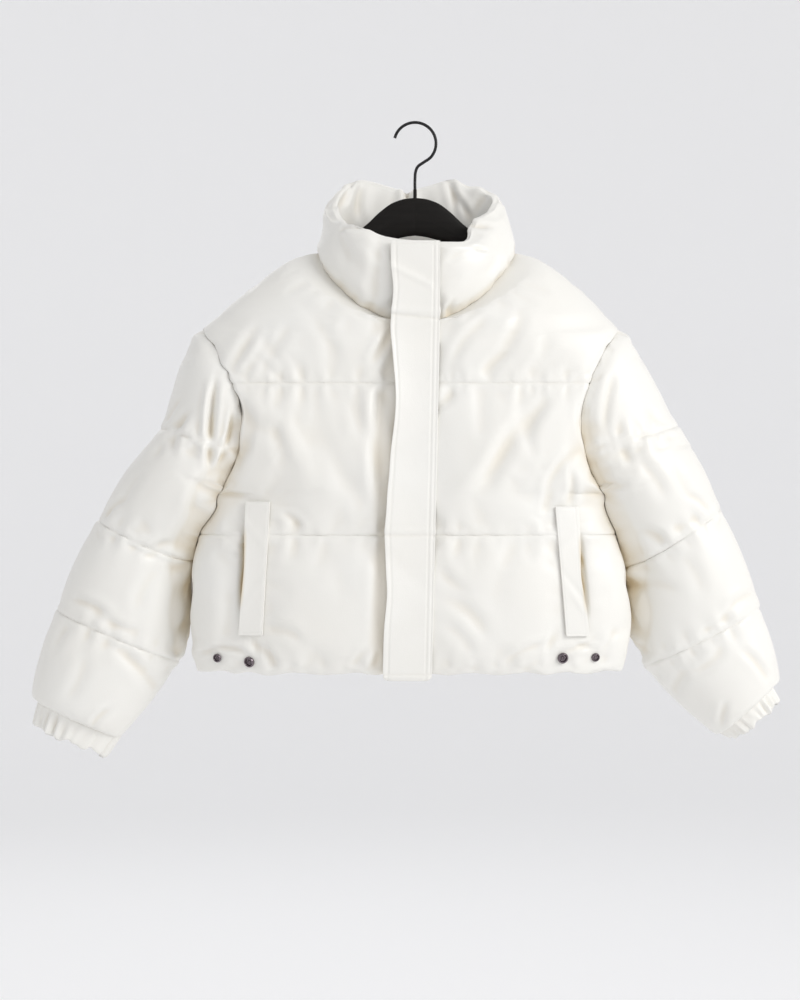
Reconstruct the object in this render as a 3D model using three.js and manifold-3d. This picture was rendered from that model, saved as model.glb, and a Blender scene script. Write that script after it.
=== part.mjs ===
// A cropped, boxy puffer jacket in cream coated cloth, hanging on a flat wooden hanger with a wire hook.
// Millimetres, +Z up. The front faces -Y, and the wearer's right side is at -X.
// The origin is the inside top of the hook, where the hanger rests on whatever holds it.
import * as THREE from 'three';
import Module from 'manifold-3d';

// Padded walls: plain inside, padding raised on the outside between the seams
const SEAM_GAP = 0.4;
const SEAM_WALL = 6;
const BODY_LOFT = 21;
const SLEEVE_LOFT = 19;
const COLLAR_LOFT = 19;
const QUILT_SHARE = 0.4;

// Levels of the body
const HEM = -683;
const WAIST_LINE = -513;
const CHEST_LINE = -328;
const NECK_FRONT = -253;
const SHOULDER_TOP = -161;
const CHANNEL_REACH = 92;
const ARMHOLE_ROWS = [-462, -457, -449, -436, -415, -390, -362, -341, -328, -315, -298, -282, -273];

// Neck hole, measured on the plain inside
const NECK = { halfWidth: 115, front: 62, back: 50, drop: SHOULDER_TOP - NECK_FRONT, bend: 1.5 };

// Plain inside of the body: half widths on the wearer's right and left, and depths of front and back
const BODY = [
  { z: HEM, right: 266, left: 252, front: 60, back: 57 },
  { z: -640, right: 270, left: 258, front: 66, back: 61 },
  { z: -590, right: 271, left: 259, front: 68, back: 62 },
  { z: -545, right: 268, left: 251, front: 67, back: 61 },
  { z: -513, right: 260, left: 241, front: 66, back: 60 },
  { z: -462, right: 243, left: 233, front: 67, back: 61 },
  { z: -400, right: 240, left: 230, front: 68, back: 61 },
  { z: -328, right: 240, left: 230, front: 66, back: 60 },
  { z: NECK_FRONT, right: 240, left: 230, front: 62, back: 57 },
  { z: -205, right: 200, left: 200, front: 54, back: 54 },
  { z: SHOULDER_TOP, right: 115, left: 115, front: 50, back: NECK.back },
];
const SECTION_POWER = { low: 2.6, high: 2.1 };

// Armholes: top and bottom of each loop, its depth from front to back and its curve towards the chest
const ARMHOLE = {
  topZ: -270,
  bottomZ: -462,
  depth: 52,
  inset: 36,
  right: { topX: 258, bottomX: 243 },
  left: { topX: 246, bottomX: 233 },
};

// Sleeves, by stations from the top of the armhole to the cuff seam. The outer line is the arm's outside.
// turn is the angle round the armhole where a row of the sleeve head ends.
// Later rows close at the inner line.
const SLEEVES = {
  right: [
    { turn: 0, outX: 258, outZ: -270, outY: 0, inX: 258, inZ: -270, inY: 0, deep: 1 },
    { turn: 62, outX: 275, outZ: -306, outY: 0, inX: 223, inZ: -320, inY: 0, deep: 48 },
    { turn: 117, outX: 304, outZ: -385, outY: 0, inX: 215, inZ: -410, inY: 0, deep: 53 },
    { turn: 180, outX: 341, outZ: -436, outY: 2, inX: 243, inZ: -462, inY: 0, deep: 54 },
    { turn: 180, outX: 384, outZ: -502, outY: 8, inX: 291, inZ: -545, inY: 30, deep: 48 },
    { turn: 180, outX: 438, outZ: -611, outY: 14, inX: 304, inZ: -670, inY: 34, deep: 43 },
    { turn: 180, outX: 470, outZ: -724, outY: 18, inX: 377, inZ: -767, inY: 34, deep: 33 },
  ],
  left: [
    { turn: 0, outX: 246, outZ: -270, outY: 0, inX: 246, inZ: -270, inY: 0, deep: 1 },
    { turn: 62, outX: 268, outZ: -306, outY: 0, inX: 214, inZ: -320, inY: 0, deep: 48 },
    { turn: 117, outX: 313, outZ: -383, outY: 0, inX: 206, inZ: -410, inY: 0, deep: 53 },
    { turn: 180, outX: 338, outZ: -428, outY: 2, inX: 233, inZ: -462, inY: 0, deep: 54 },
    { turn: 180, outX: 370, outZ: -488, outY: 8, inX: 277, inZ: -553, inY: 30, deep: 48 },
    { turn: 180, outX: 421, outZ: -609, outY: 16, inX: 295, inZ: -675, inY: 34, deep: 43 },
    { turn: 180, outX: 446, outZ: -706, outY: 26, inX: 384, inZ: -762, inY: 34, deep: 33 },
  ],
};
const SLEEVE_QUILTS = [2, 4, 5, 6];
const SLEEVE_RINGS = [3.2, 3.45, 3.75, 4, 4.12, 4.35, 4.65, 4.88, 5, 5.12, 5.35, 5.65, 5.88, 6];
const SLEEVE_COLUMNS = 20;

// Surface where body and sleeve press together: through the armhole, then down beside the side seam
const PARTING = { gap: 1.1, topSlope: 0.6, room: 12, drop: 60 };

const CUFF = { depth: 27, waves: 24, waveHeight: 2.6, wall: 3, squeeze: 0.88, steps: 3 };

// Stand collar: places round the neck, in degrees from the centre front, and where its top edge lies
const COLLAR = [
  { turn: -88, x: -5, y: -70, z: -156 },
  { turn: -72, x: -33, y: -71, z: -153 },
  { turn: -50, x: -62, y: -60, z: -139 },
  { turn: -25, x: -88, y: -34, z: -127 },
  { turn: 0, x: -97, y: 2, z: -102 },
  { turn: 30, x: -84, y: 36, z: -76 },
  { turn: 60, x: -50, y: 57, z: -67 },
  { turn: 88, x: -8, y: 60, z: -77 },
  { turn: 120, x: 42, y: 60, z: -65 },
  { turn: 152, x: 95, y: 34, z: -84 },
  { turn: 180, x: 88, y: -8, z: -112 },
  { turn: 205, x: 76, y: -40, z: -140 },
  { turn: 230, x: 58, y: -62, z: -156 },
  { turn: 252, x: 32, y: -71, z: -158 },
  { turn: 268, x: 5, y: -70, z: -158 },
];
const COLLAR_STATIONS = 36;

const PLACKET = {
  topZ: -155,
  bottomZ: -691,
  topX: 0,
  bottomX: -10,
  width: 60,
  wall: 3.5,
  cover: 16.5,
  lift: 7,
};
const CENTRE_WALL = 13;

const WELT = { wall: 3.5, clear: 1.3, pressed: 15, margin: 28 };
const WELTS = {
  right: { topX: -191.5, bottomX: -200.5, topZ: -472, bottomZ: -635, width: 30 },
  left: { topX: 184, bottomX: 197.5, topZ: -478, bottomZ: -636, width: 28 },
};

const SNAP = { radius: 6.8, height: 3.6, clear: 0.5, pinch: 18, wall: 9 };
const SNAPS = [
  { name: 'snap_right_side', side: 'right', x: -243, z: -664 },
  { name: 'snap_right_front', side: 'right', x: -203, z: -668 },
  { name: 'snap_left_front', side: 'left', x: 180, z: -663 },
  { name: 'snap_left_side', side: 'left', x: 221, z: -663 },
];

// Long soft folds of the fronts and back, as ridges or troughs in the padding
const FOLDS = {
  frontRight: [
    { x: -232, z: -350, lean: 68, length: 120, width: 15, height: 7 },
    { x: -252, z: -300, lean: 55, length: 90, width: 14, height: -6 },
    { x: -100, z: -410, lean: -62, length: 150, width: 17, height: -5 },
    { x: -140, z: -420, lean: -58, length: 130, width: 16, height: 4 },
    { x: -222, z: -585, lean: 85, length: 100, width: 15, height: -5 },
  ],
  frontLeft: [
    { x: 112, z: -400, lean: 65, length: 170, width: 17, height: -6 },
    { x: 78, z: -440, lean: 62, length: 140, width: 16, height: 5 },
    { x: 100, z: -300, lean: 60, length: 100, width: 15, height: -4 },
    { x: 176, z: -438, lean: 70, length: 90, width: 14, height: -6 },
    { x: 70, z: -600, lean: -45, length: 110, width: 17, height: -4 },
  ],
  back: [
    { x: -150, z: -420, lean: -60, length: 150, width: 20, height: -5 },
    { x: 120, z: -410, lean: 60, length: 160, width: 20, height: -5 },
    { x: 40, z: -250, lean: 75, length: 110, width: 18, height: -4 },
    { x: -80, z: -600, lean: 40, length: 120, width: 18, height: -4 },
  ],
};

// Hanger: a domed middle, then arms that slope down to its round ends.
// fall is how far its upper edge lies below the crown.
const HANGER_EDGE = [
  { x: 0, fall: 0 },
  { x: 15, fall: 1.6 },
  { x: 30, fall: 7 },
  { x: 45, fall: 18.5 },
  { x: 60, fall: 33.5 },
  { x: 80, fall: 48 },
  { x: 100, fall: 60.8 },
  { x: 120, fall: 76 },
  { x: 155, fall: 103 },
  { x: 195, fall: 134.3 },
];
const HANGER = {
  crown: -92,
  halfLength: 195,
  thickness: 11,
  bevel: 4.5,
  clear: 3.2,
  endRound: 12,
  sections: 28,
};
const HANGER_UNDER = { crown: -140, slope: 0.62, ease: 62 };
const HOOK = { radius: 26.2, wire: 1.9, tipAngle: 165, turnAngle: -42, bore: 14, boreClear: 0.35 };

const CREAM = { color: 0xece8dc, roughness: 0.42, metalness: 0 };
const BLACK_WOOD = { color: 0x16130f, roughness: 0.5, metalness: 0 };
const BLACK_WIRE = { color: 0x111111, roughness: 0.35, metalness: 0.6 };
const DARK_METAL = { color: 0x3a3033, roughness: 0.3, metalness: 0.9 };

const vector = (x, y, z) => new THREE.Vector3(x, y, z);
const mix = (from, to, share) => from + (to - from) * share;
const clamp = (value) => Math.min(Math.max(value, 0), 1);
const radians = THREE.MathUtils.degToRad;
const signOf = (side) => (side === 'right' ? -1 : 1);

// Smooth value of a named column between the rows of a table, at a fractional row
function atRow(table, row, column) {
  const i = Math.min(Math.floor(row), table.length - 2);
  const share = row - i;
  const near = table[i][column];
  const far = table[i + 1][column];
  const before = table[Math.max(i - 1, 0)][column];
  const after = table[Math.min(i + 2, table.length - 1)][column];
  const cubic = 3 * (near - far) + after - before;
  const square = 2 * before - 5 * near + 4 * far - after;
  return near + 0.5 * share * (far - before + share * (square + share * cubic));
}

// Value of a named column of a table at a place along another, rising column
function atPlace(table, place, value, column) {
  let i = 0;
  while (i < table.length - 2 && table[i + 1][place] < value) i += 1;
  const share = clamp((value - table[i][place]) / (table[i + 1][place] - table[i][place]));
  return atRow(table, i + share, column);
}

const atHeight = (table, z, column) => atPlace(table, 'z', z, column);

// Rise of the padding from a seam: round near the seam, full at its reach
const puff = (distance, reach) => Math.sqrt(1 - (1 - clamp(distance / reach)) ** 2);

// A closed mesh from loose triangles: shared corners are merged and faces point out
function solid(name, triangles, finish) {
  const corners = new Map();
  const positions = [];
  const index = [];
  const cornerOf = (p) => {
    const key = [p.x, p.y, p.z].map((v) => Math.round(v * 1e4)).join();
    if (!corners.has(key)) {
      corners.set(key, positions.length / 3);
      positions.push(p.x, p.y, p.z);
    }
    return corners.get(key);
  };
  let volume = 0;
  for (const [a, b, c] of triangles) {
    const [i, j, k] = [cornerOf(a), cornerOf(b), cornerOf(c)];
    if (i === j || j === k || k === i) continue;
    index.push(i, j, k);
    volume += a.dot(b.clone().cross(c));
  }
  if (volume < 0) index.reverse();
  const geometry = new THREE.BufferGeometry();
  geometry.setAttribute('position', new THREE.Float32BufferAttribute(positions, 3));
  geometry.setIndex(index);
  geometry.computeVertexNormals();
  const mesh = new THREE.Mesh(geometry, new THREE.MeshStandardMaterial(finish));
  mesh.name = name;
  return mesh;
}

const quad = (a, b, c, d) => [[a, b, c], [a, c, d]];

// A wall between an outer and an inner grid. Rows whose two ends meet have no rim there.
function wallTriangles(outer, inner, ringFrom = Infinity) {
  const triangles = [];
  const last = outer.length - 1;
  const end = outer[0].length - 1;
  for (let r = 0; r < last; r += 1) {
    for (let c = 0; c < end; c += 1) {
      triangles.push(...quad(outer[r][c], outer[r][c + 1], outer[r + 1][c + 1], outer[r + 1][c]));
      triangles.push(...quad(inner[r][c], inner[r + 1][c], inner[r + 1][c + 1], inner[r][c + 1]));
    }
    if (r < ringFrom) {
      triangles.push(...quad(inner[r][0], outer[r][0], outer[r + 1][0], inner[r + 1][0]));
      triangles.push(...quad(outer[r][end], inner[r][end], inner[r + 1][end], outer[r + 1][end]));
    }
  }
  for (let c = 0; c < end; c += 1) {
    triangles.push(...quad(inner[0][c], inner[0][c + 1], outer[0][c + 1], outer[0][c]));
    triangles.push(...quad(outer[last][c], outer[last][c + 1], inner[last][c + 1], inner[last][c]));
  }
  return triangles;
}

// Surface direction at a grid point, from its neighbours
function gridNormal(grid, r, c, closed = false) {
  const end = grid[0].length - 1;
  const before = closed && c === 0 ? end - 1 : Math.max(c - 1, 0);
  const after = closed && c === end ? 1 : Math.min(c + 1, end);
  const along = grid[r][after].clone().sub(grid[r][before]);
  const down = grid[Math.min(r + 1, grid.length - 1)][c].clone().sub(grid[Math.max(r - 1, 0)][c]);
  return along.cross(down).normalize();
}

// Places along a line of points, evenly by length but closer together near both ends
function spread(line, count, crowd) {
  const lengths = [0];
  for (let i = 1; i < line.length; i += 1) lengths.push(lengths[i - 1] + line[i].distanceTo(line[i - 1]));
  const total = lengths[line.length - 1];
  const places = [];
  let i = 1;
  for (let step = 0; step <= count; step += 1) {
    const share = step / count;
    const target = total * mix(share, (1 - Math.cos(Math.PI * share)) / 2, crowd);
    while (i < line.length - 1 && lengths[i] < target) i += 1;
    const part = total > 0 ? (target - lengths[i - 1]) / (lengths[i] - lengths[i - 1]) : 0;
    const point = line[i - 1].clone().lerp(line[i], clamp(part));
    places.push({ point, fromStart: target, fromEnd: total - target });
  }
  return places;
}

// Hanger's upper edge, which the shoulders rest on
const hangerTop = (x) => HANGER.crown - atPlace(HANGER_EDGE, 'x', Math.abs(x), 'fall');
function hangerUnder(x) {
  const reach = Math.abs(x);
  return HANGER_UNDER.crown - (HANGER_UNDER.slope * reach ** 2) / (reach + HANGER_UNDER.ease);
}

// Ridge of the plain inside along the shoulder: on the hanger, then on to the top of the armhole
function ridgeHeight(x, side) {
  const lift = HANGER.halfLength - 6;
  const onHanger = hangerTop(Math.min(x, lift)) + HANGER.clear;
  if (x <= lift) return onHanger;
  return mix(onHanger, ARMHOLE.topZ, (x - lift) / (ARMHOLE[side].topX - lift));
}

function ridgeReach(z, side) {
  let near = NECK.halfWidth;
  let far = ARMHOLE[side].topX;
  for (let i = 0; i < 40; i += 1) {
    const middle = (near + far) / 2;
    if (ridgeHeight(middle, side) > z) near = middle;
    else far = middle;
  }
  return (near + far) / 2;
}

// A point of the armhole's inner loop. face is -1 in front and 1 at the back.
function armholePoint(side, turn, face) {
  const hole = ARMHOLE[side];
  const share = (1 - Math.cos(turn)) / 2;
  const x = mix(hole.topX, hole.bottomX, share) - ARMHOLE.inset * Math.sin(turn) ** 2;
  const z = mix(ARMHOLE.topZ, ARMHOLE.bottomZ, share);
  return vector(signOf(side) * x, face * ARMHOLE.depth * Math.sin(turn), z);
}

const armholeTurn = (z) => Math.acos(1 - (2 * (z - ARMHOLE.topZ)) / (ARMHOLE.bottomZ - ARMHOLE.topZ));

// Distance from the middle, at a height, of the surface where body and sleeve press together
function partingX(side, z) {
  if (z >= ARMHOLE.topZ) return ARMHOLE[side].topX + PARTING.topSlope * (z - ARMHOLE.topZ);
  if (z > ARMHOLE.bottomZ) return Math.abs(armholePoint(side, armholeTurn(z), 1).x);
  return atHeight(BODY, z, side) + PARTING.room * clamp((ARMHOLE.bottomZ - z) / PARTING.drop);
}

// Direction of the armhole seam's width, along the surface where body and sleeve press together
function armholeOut(side, z, face) {
  const up = vector(signOf(side) * PARTING.topSlope, 0, 1).normalize();
  if (z >= ARMHOLE.topZ) return up;
  const turn = Math.min(armholeTurn(Math.max(z, ARMHOLE.bottomZ)), Math.PI / 2);
  const halfHeight = (ARMHOLE.topZ - ARMHOLE.bottomZ) / 2;
  const across = vector(0, face * halfHeight * Math.sin(turn), 0);
  return across.addScaledVector(up, ARMHOLE.depth * Math.cos(turn)).normalize();
}

// A point of the neck's inner loop. turn is 0 at the shoulder and a quarter at the centre.
function neckPoint(sign, turn, face) {
  const x = sign * NECK.halfWidth * Math.cos(turn);
  if (face > 0) return vector(x, NECK.back * Math.sin(turn), SHOULDER_TOP);
  return vector(x, -NECK.front * Math.sin(turn), SHOULDER_TOP - NECK.drop * Math.sin(turn) ** NECK.bend);
}

const neckOut = (sign, turn, face) => vector(sign * Math.cos(turn), face * Math.sin(turn), 0);

const centreFront = (z) => mix(PLACKET.bottomX, PLACKET.topX, clamp((z - HEM) / (NECK_FRONT - HEM)));

// End of a body row on one side: on the side seam, the armhole or the shoulder ridge
function rowEnd(side, z, face) {
  if (z <= ARMHOLE.bottomZ) {
    const sideways = clamp((ARMHOLE.bottomZ - z) / 12);
    const out = vector(0, face, 0).lerp(vector(signOf(side), 0, 0), sideways).normalize();
    return { point: vector(signOf(side) * atHeight(BODY, z, side), 0, z), out, floor: 0 };
  }
  if (z < ARMHOLE.topZ) {
    return { point: armholePoint(side, armholeTurn(z), face), out: armholeOut(side, z, face), floor: 0 };
  }
  const share = (z - ARMHOLE.topZ) / (SHOULDER_TOP - ARMHOLE.topZ);
  const upward = vector(signOf(side) * 0.6, 0, 0.8);
  const out = armholeOut(side, z, face).lerp(upward, clamp(share * 5)).normalize();
  const floor = Math.sin(Math.PI * share) ** (share < 0.5 ? 0.7 : 1.2);
  return { point: vector(signOf(side) * ridgeReach(z, side), 0, z), out, floor };
}

// Plain inside line of one body row, from the centre to its end
function bodyLine(side, z, face) {
  const end = rowEnd(side, z, face);
  const column = face < 0 ? 'front' : 'back';
  const aboveChest = clamp((z - CHEST_LINE) / (SHOULDER_TOP - CHEST_LINE));
  const power = mix(SECTION_POWER.low, SECTION_POWER.high, aboveChest);
  const reach = Math.abs(end.point.x);
  let depth = atHeight(BODY, z, column);
  let from = 0;
  let neckTurn = null;
  if (face < 0 && z > NECK_FRONT) {
    neckTurn = Math.asin(clamp(((SHOULDER_TOP - z) / NECK.drop) ** (1 / NECK.bend)));
    const neck = neckPoint(signOf(side), neckTurn, face);
    from = Math.asin(clamp((Math.abs(neck.x) / reach) ** (power / 2)));
    depth = Math.abs(neck.y) / Math.max(Math.cos(from) ** (2 / power), 1e-6);
  }
  const line = [];
  for (let i = 0; i <= 80; i += 1) {
    const angle = mix(from, Math.PI / 2, i / 80);
    const x = signOf(side) * reach * Math.sin(angle) ** (2 / power);
    const rise = Math.cos(angle) ** (2 / power);
    line.push(vector(x, mix(end.point.y, face * depth, rise), z));
  }
  line[80] = end.point.clone();
  return { line, end, neckTurn };
}

function foldHeight(folds, x, z) {
  let height = 0;
  for (const fold of folds) {
    const lean = radians(fold.lean);
    const along = (x - fold.x) * Math.cos(lean) + (z - fold.z) * Math.sin(lean);
    const across = (z - fold.z) * Math.cos(lean) - (x - fold.x) * Math.sin(lean);
    height += fold.height * Math.exp(-((across / fold.width) ** 2) - ((2 * along) / fold.length) ** 4);
  }
  return height;
}

// Share of the padding that is pressed flat under a pocket welt
function pressedShare(welt, x, z) {
  const share = clamp((welt.topZ - z) / (welt.topZ - welt.bottomZ));
  const aside = Math.abs(x - mix(welt.topX, welt.bottomX, share)) - welt.width / 2;
  const beyond = Math.max(aside, z - welt.topZ, welt.bottomZ - z, 0);
  return 1 - THREE.MathUtils.smoothstep(beyond, WELT.margin * 0.4, WELT.margin);
}

// Share of the loft at a height: less at the quilting lines and the folded hem
const quiltPuff = (z) =>
  mix(QUILT_SHARE, 1, puff(Math.abs(z - WAIST_LINE), CHANNEL_REACH)) *
  mix(QUILT_SHARE, 1, puff(Math.abs(z - CHEST_LINE), CHANNEL_REACH)) *
  mix(0.35, 1, puff(z - HEM, 60));

// Reach of the padding's rise from the side seam and armhole, longest under the arm
const sideReach = (z) => mix(45, 85, Math.exp(-(((z - ARMHOLE.bottomZ + 20) / 70) ** 2)));

// A point of the body's outside, kept on its own side of the sleeve
function besideSleeve(point, side) {
  const limit = partingX(side, point.z) - PARTING.gap / 2;
  if (Math.abs(point.x) > limit) point.x = signOf(side) * limit;
  return point;
}

// Height of the neck seam in the direction of a point
function neckLevel(point) {
  const turn = Math.atan2(Math.max(-point.y, 0) / NECK.front, Math.abs(point.x) / NECK.halfWidth);
  return SHOULDER_TOP - NECK.drop * Math.sin(turn) ** NECK.bend;
}

// Share of the padding near the top corner of the armhole, where three seams draw it flat
function armholeCorner(point, side) {
  const away = Math.hypot(Math.abs(point.x) - ARMHOLE[side].topX, point.y, point.z - ARMHOLE.topZ);
  return mix(0.25, 1, puff(away, 55));
}

// Heights of the rows of a body panel, closer together at the quilting lines
function bodyHeights(top) {
  const heights = [];
  for (const share of [0, 0.07, 0.2, 0.38, 0.6, 0.79, 0.93]) heights.push(mix(HEM, WAIST_LINE, share));
  for (const share of [0, 0.16, 0.42, 0.72]) heights.push(mix(WAIST_LINE, ARMHOLE.bottomZ, share));
  return [...heights, ...ARMHOLE_ROWS, ...top];
}

// Rows above the armhole: those of a front follow the curve of the neck hole
const FRONT_TOP = [
  ARMHOLE.topZ, NECK_FRONT, -251.2, -247, -240, -230, -217, -202, -186, -173, SHOULDER_TOP,
];
const BACK_TOP = [ARMHOLE.topZ, -248, -222, -198, -178, SHOULDER_TOP];
const FRONT_COLUMNS = 12;
const UNDER_PLACKET = (CENTRE_WALL - SEAM_WALL) / (BODY_LOFT - SEAM_WALL);

function frontPanel(side) {
  const sign = signOf(side);
  const folds = side === 'right' ? FOLDS.frontRight : FOLDS.frontLeft;
  const inner = [];
  const outer = [];
  const rows = bodyHeights(FRONT_TOP).map((z) => {
    const { line, end, neckTurn } = bodyLine(side, z, -1);
    const edge = centreFront(z) + sign * SEAM_GAP;
    const kept = neckTurn === null ? line.filter((p) => sign * (p.x - edge) > 1) : line;
    if (neckTurn === null) kept.unshift(vector(edge, line[0].y, z));
    return { z, end, neckTurn, places: spread(kept, FRONT_COLUMNS, 0.45) };
  });
  for (const row of rows) inner.push(row.places.map((place) => place.point));
  rows.forEach((row, r) => {
    outer.push(row.places.map((place, c) => {
      const out = gridNormal(inner, r, c);
      if (out.y > 0) out.negate();
      if (row.z < CHEST_LINE) out.setZ(0).normalize();
      const neckShare = row.neckTurn === null ? 0 : 1;
      const fromCentre = mix(UNDER_PLACKET, 1, puff(place.fromStart - 30, 42));
      const start = r === rows.length - 1 ? 0 : mix(fromCentre, puff(place.fromStart, 50), neckShare);
      const sidePuff = mix(row.end.floor, 1, puff(place.fromEnd, sideReach(row.z)));
      const finish = sidePuff * armholeCorner(place.point, side);
      const full = c === FRONT_COLUMNS ? row.end.floor : quiltPuff(row.z) * start * finish;
      let wall = SEAM_WALL + full * (BODY_LOFT - SEAM_WALL + foldHeight(folds, place.point.x, row.z));
      wall = mix(wall, WELT.pressed, pressedShare(WELTS[side], place.point.x, row.z));
      for (const snap of SNAPS) {
        if (snap.side !== side) continue;
        const away = Math.hypot(place.point.x - snap.x, row.z - snap.z) / SNAP.pinch;
        wall = mix(wall, SNAP.wall, Math.exp(-away * away));
      }
      if (c === 0 && row.neckTurn === null) out.setX(0).normalize();
      if (c === 0 && row.neckTurn !== null) out.copy(neckOut(sign, row.neckTurn, -1));
      if (c === FRONT_COLUMNS) out.copy(row.end.out);
      if (r === rows.length - 1) out.copy(neckOut(sign, 0, -1));
      if (r === 0) out.setZ(0).normalize();
      const skin = place.point.clone().addScaledVector(out, wall);
      if (row.neckTurn !== null) skin.z = Math.min(skin.z, neckLevel(skin) - PARTING.gap / 2);
      return besideSleeve(skin, side);
    }));
  });
  return { inner, outer, aside: -SEAM_GAP / 2 };
}

const BACK_COLUMNS = 22;

function backPanel() {
  const inner = [];
  const outer = [];
  const rows = bodyHeights(BACK_TOP).map((z) => {
    const right = bodyLine('right', z, 1);
    const left = bodyLine('left', z, 1);
    const line = [...right.line.reverse(), ...left.line.slice(1)];
    return { z, ends: [right.end, left.end], places: spread(line, BACK_COLUMNS, 0.35) };
  });
  for (const row of rows) inner.push(row.places.map((place) => place.point));
  rows.forEach((row, r) => {
    outer.push(row.places.map((place, c) => {
      const out = gridNormal(inner, r, c);
      if (out.y < 0) out.negate();
      if (row.z < CHEST_LINE) out.setZ(0).normalize();
      const start = mix(row.ends[0].floor, 1, puff(place.fromStart, sideReach(row.z)));
      const finish = mix(row.ends[1].floor, 1, puff(place.fromEnd, sideReach(row.z)));
      let full = quiltPuff(row.z) * start * finish * puff(SHOULDER_TOP - row.z, 50);
      full *= armholeCorner(place.point, place.point.x < 0 ? 'right' : 'left');
      if (c === 0 || c === BACK_COLUMNS) full = row.ends[0].floor;
      const fold = foldHeight(FOLDS.back, place.point.x, row.z);
      const wall = SEAM_WALL + full * (BODY_LOFT - SEAM_WALL + fold);
      if (c === 0) out.copy(row.ends[0].out);
      if (c === BACK_COLUMNS) out.copy(row.ends[1].out);
      if (r === rows.length - 1) {
        const turn = Math.acos(clamp(Math.abs(place.point.x) / NECK.halfWidth));
        out.copy(neckOut(Math.sign(place.point.x), turn, 1));
      }
      if (r === 0) out.setZ(0).normalize();
      const skin = place.point.clone().addScaledVector(out, wall);
      return besideSleeve(skin, skin.x < 0 ? 'right' : 'left');
    }));
  });
  return { inner, outer, aside: SEAM_GAP / 2 };
}

function panelMesh(name, panel) {
  const shifted = (grid) => grid.map((row) => row.map((p) => p.clone().setY(p.y + panel.aside)));
  return solid(name, wallTriangles(shifted(panel.outer), shifted(panel.inner)), CREAM);
}

// Sleeve row at a fractional station: the section's outer and inner points, its depth
// and where its ends lie
function sleeveRow(side, station) {
  const value = (column) => atRow(SLEEVES[side], station, column);
  const sign = signOf(side);
  const turn = radians(Math.min(value('turn'), 180));
  const hole = armholePoint(side, turn, -1);
  const open = station < 3;
  const out = vector(sign * value('outX'), value('outY'), value('outZ'));
  const into = open ? vector(hole.x, 0, hole.z) : vector(sign * value('inX'), value('inY'), value('inZ'));
  const deep = Math.max(value('deep'), Math.abs(hole.y) * 1.02, 0.01);
  const last = open ? Math.PI - Math.asin(clamp(Math.abs(hole.y) / deep)) : Math.PI;
  const down = vector(out.z - into.z, 0, into.x - out.x).normalize();
  if (down.z > 0) down.negate();
  return { out, into, deep, last, open, down };
}

function sleevePoint(row, share) {
  const angle = row.last * (2 * share - 1);
  const across = (1 - Math.cos(angle)) / (1 - Math.cos(row.last));
  const point = row.out.clone().lerp(row.into, across);
  point.y += row.deep * Math.sin(angle);
  return point;
}

// Rise of the padding between two quilting lines, by station
function sleevePuff(station) {
  if (station >= SLEEVE_QUILTS[3]) return 0;
  if (station <= SLEEVE_QUILTS[0]) return puff(SLEEVE_QUILTS[0] - station, 0.8);
  const i = SLEEVE_QUILTS.findIndex((quilt) => quilt > station);
  const share = (station - SLEEVE_QUILTS[i - 1]) / (SLEEVE_QUILTS[i] - SLEEVE_QUILTS[i - 1]);
  return Math.sqrt(4 * share * (1 - share));
}

// Stations of the sleeve head whose ends lie at the heights of the body's rows, then those of the rings
function sleeveStations(side) {
  const head = ARMHOLE_ROWS.slice(1).reverse().map((z) => {
    const turn = THREE.MathUtils.radToDeg(armholeTurn(z));
    let [near, far] = [0, 3];
    for (let i = 0; i < 40; i += 1) {
      const middle = (near + far) / 2;
      if (atRow(SLEEVES[side], middle, 'turn') < turn) near = middle;
      else far = middle;
    }
    return near;
  });
  return [0, ...head, 3, ...SLEEVE_RINGS];
}

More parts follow.
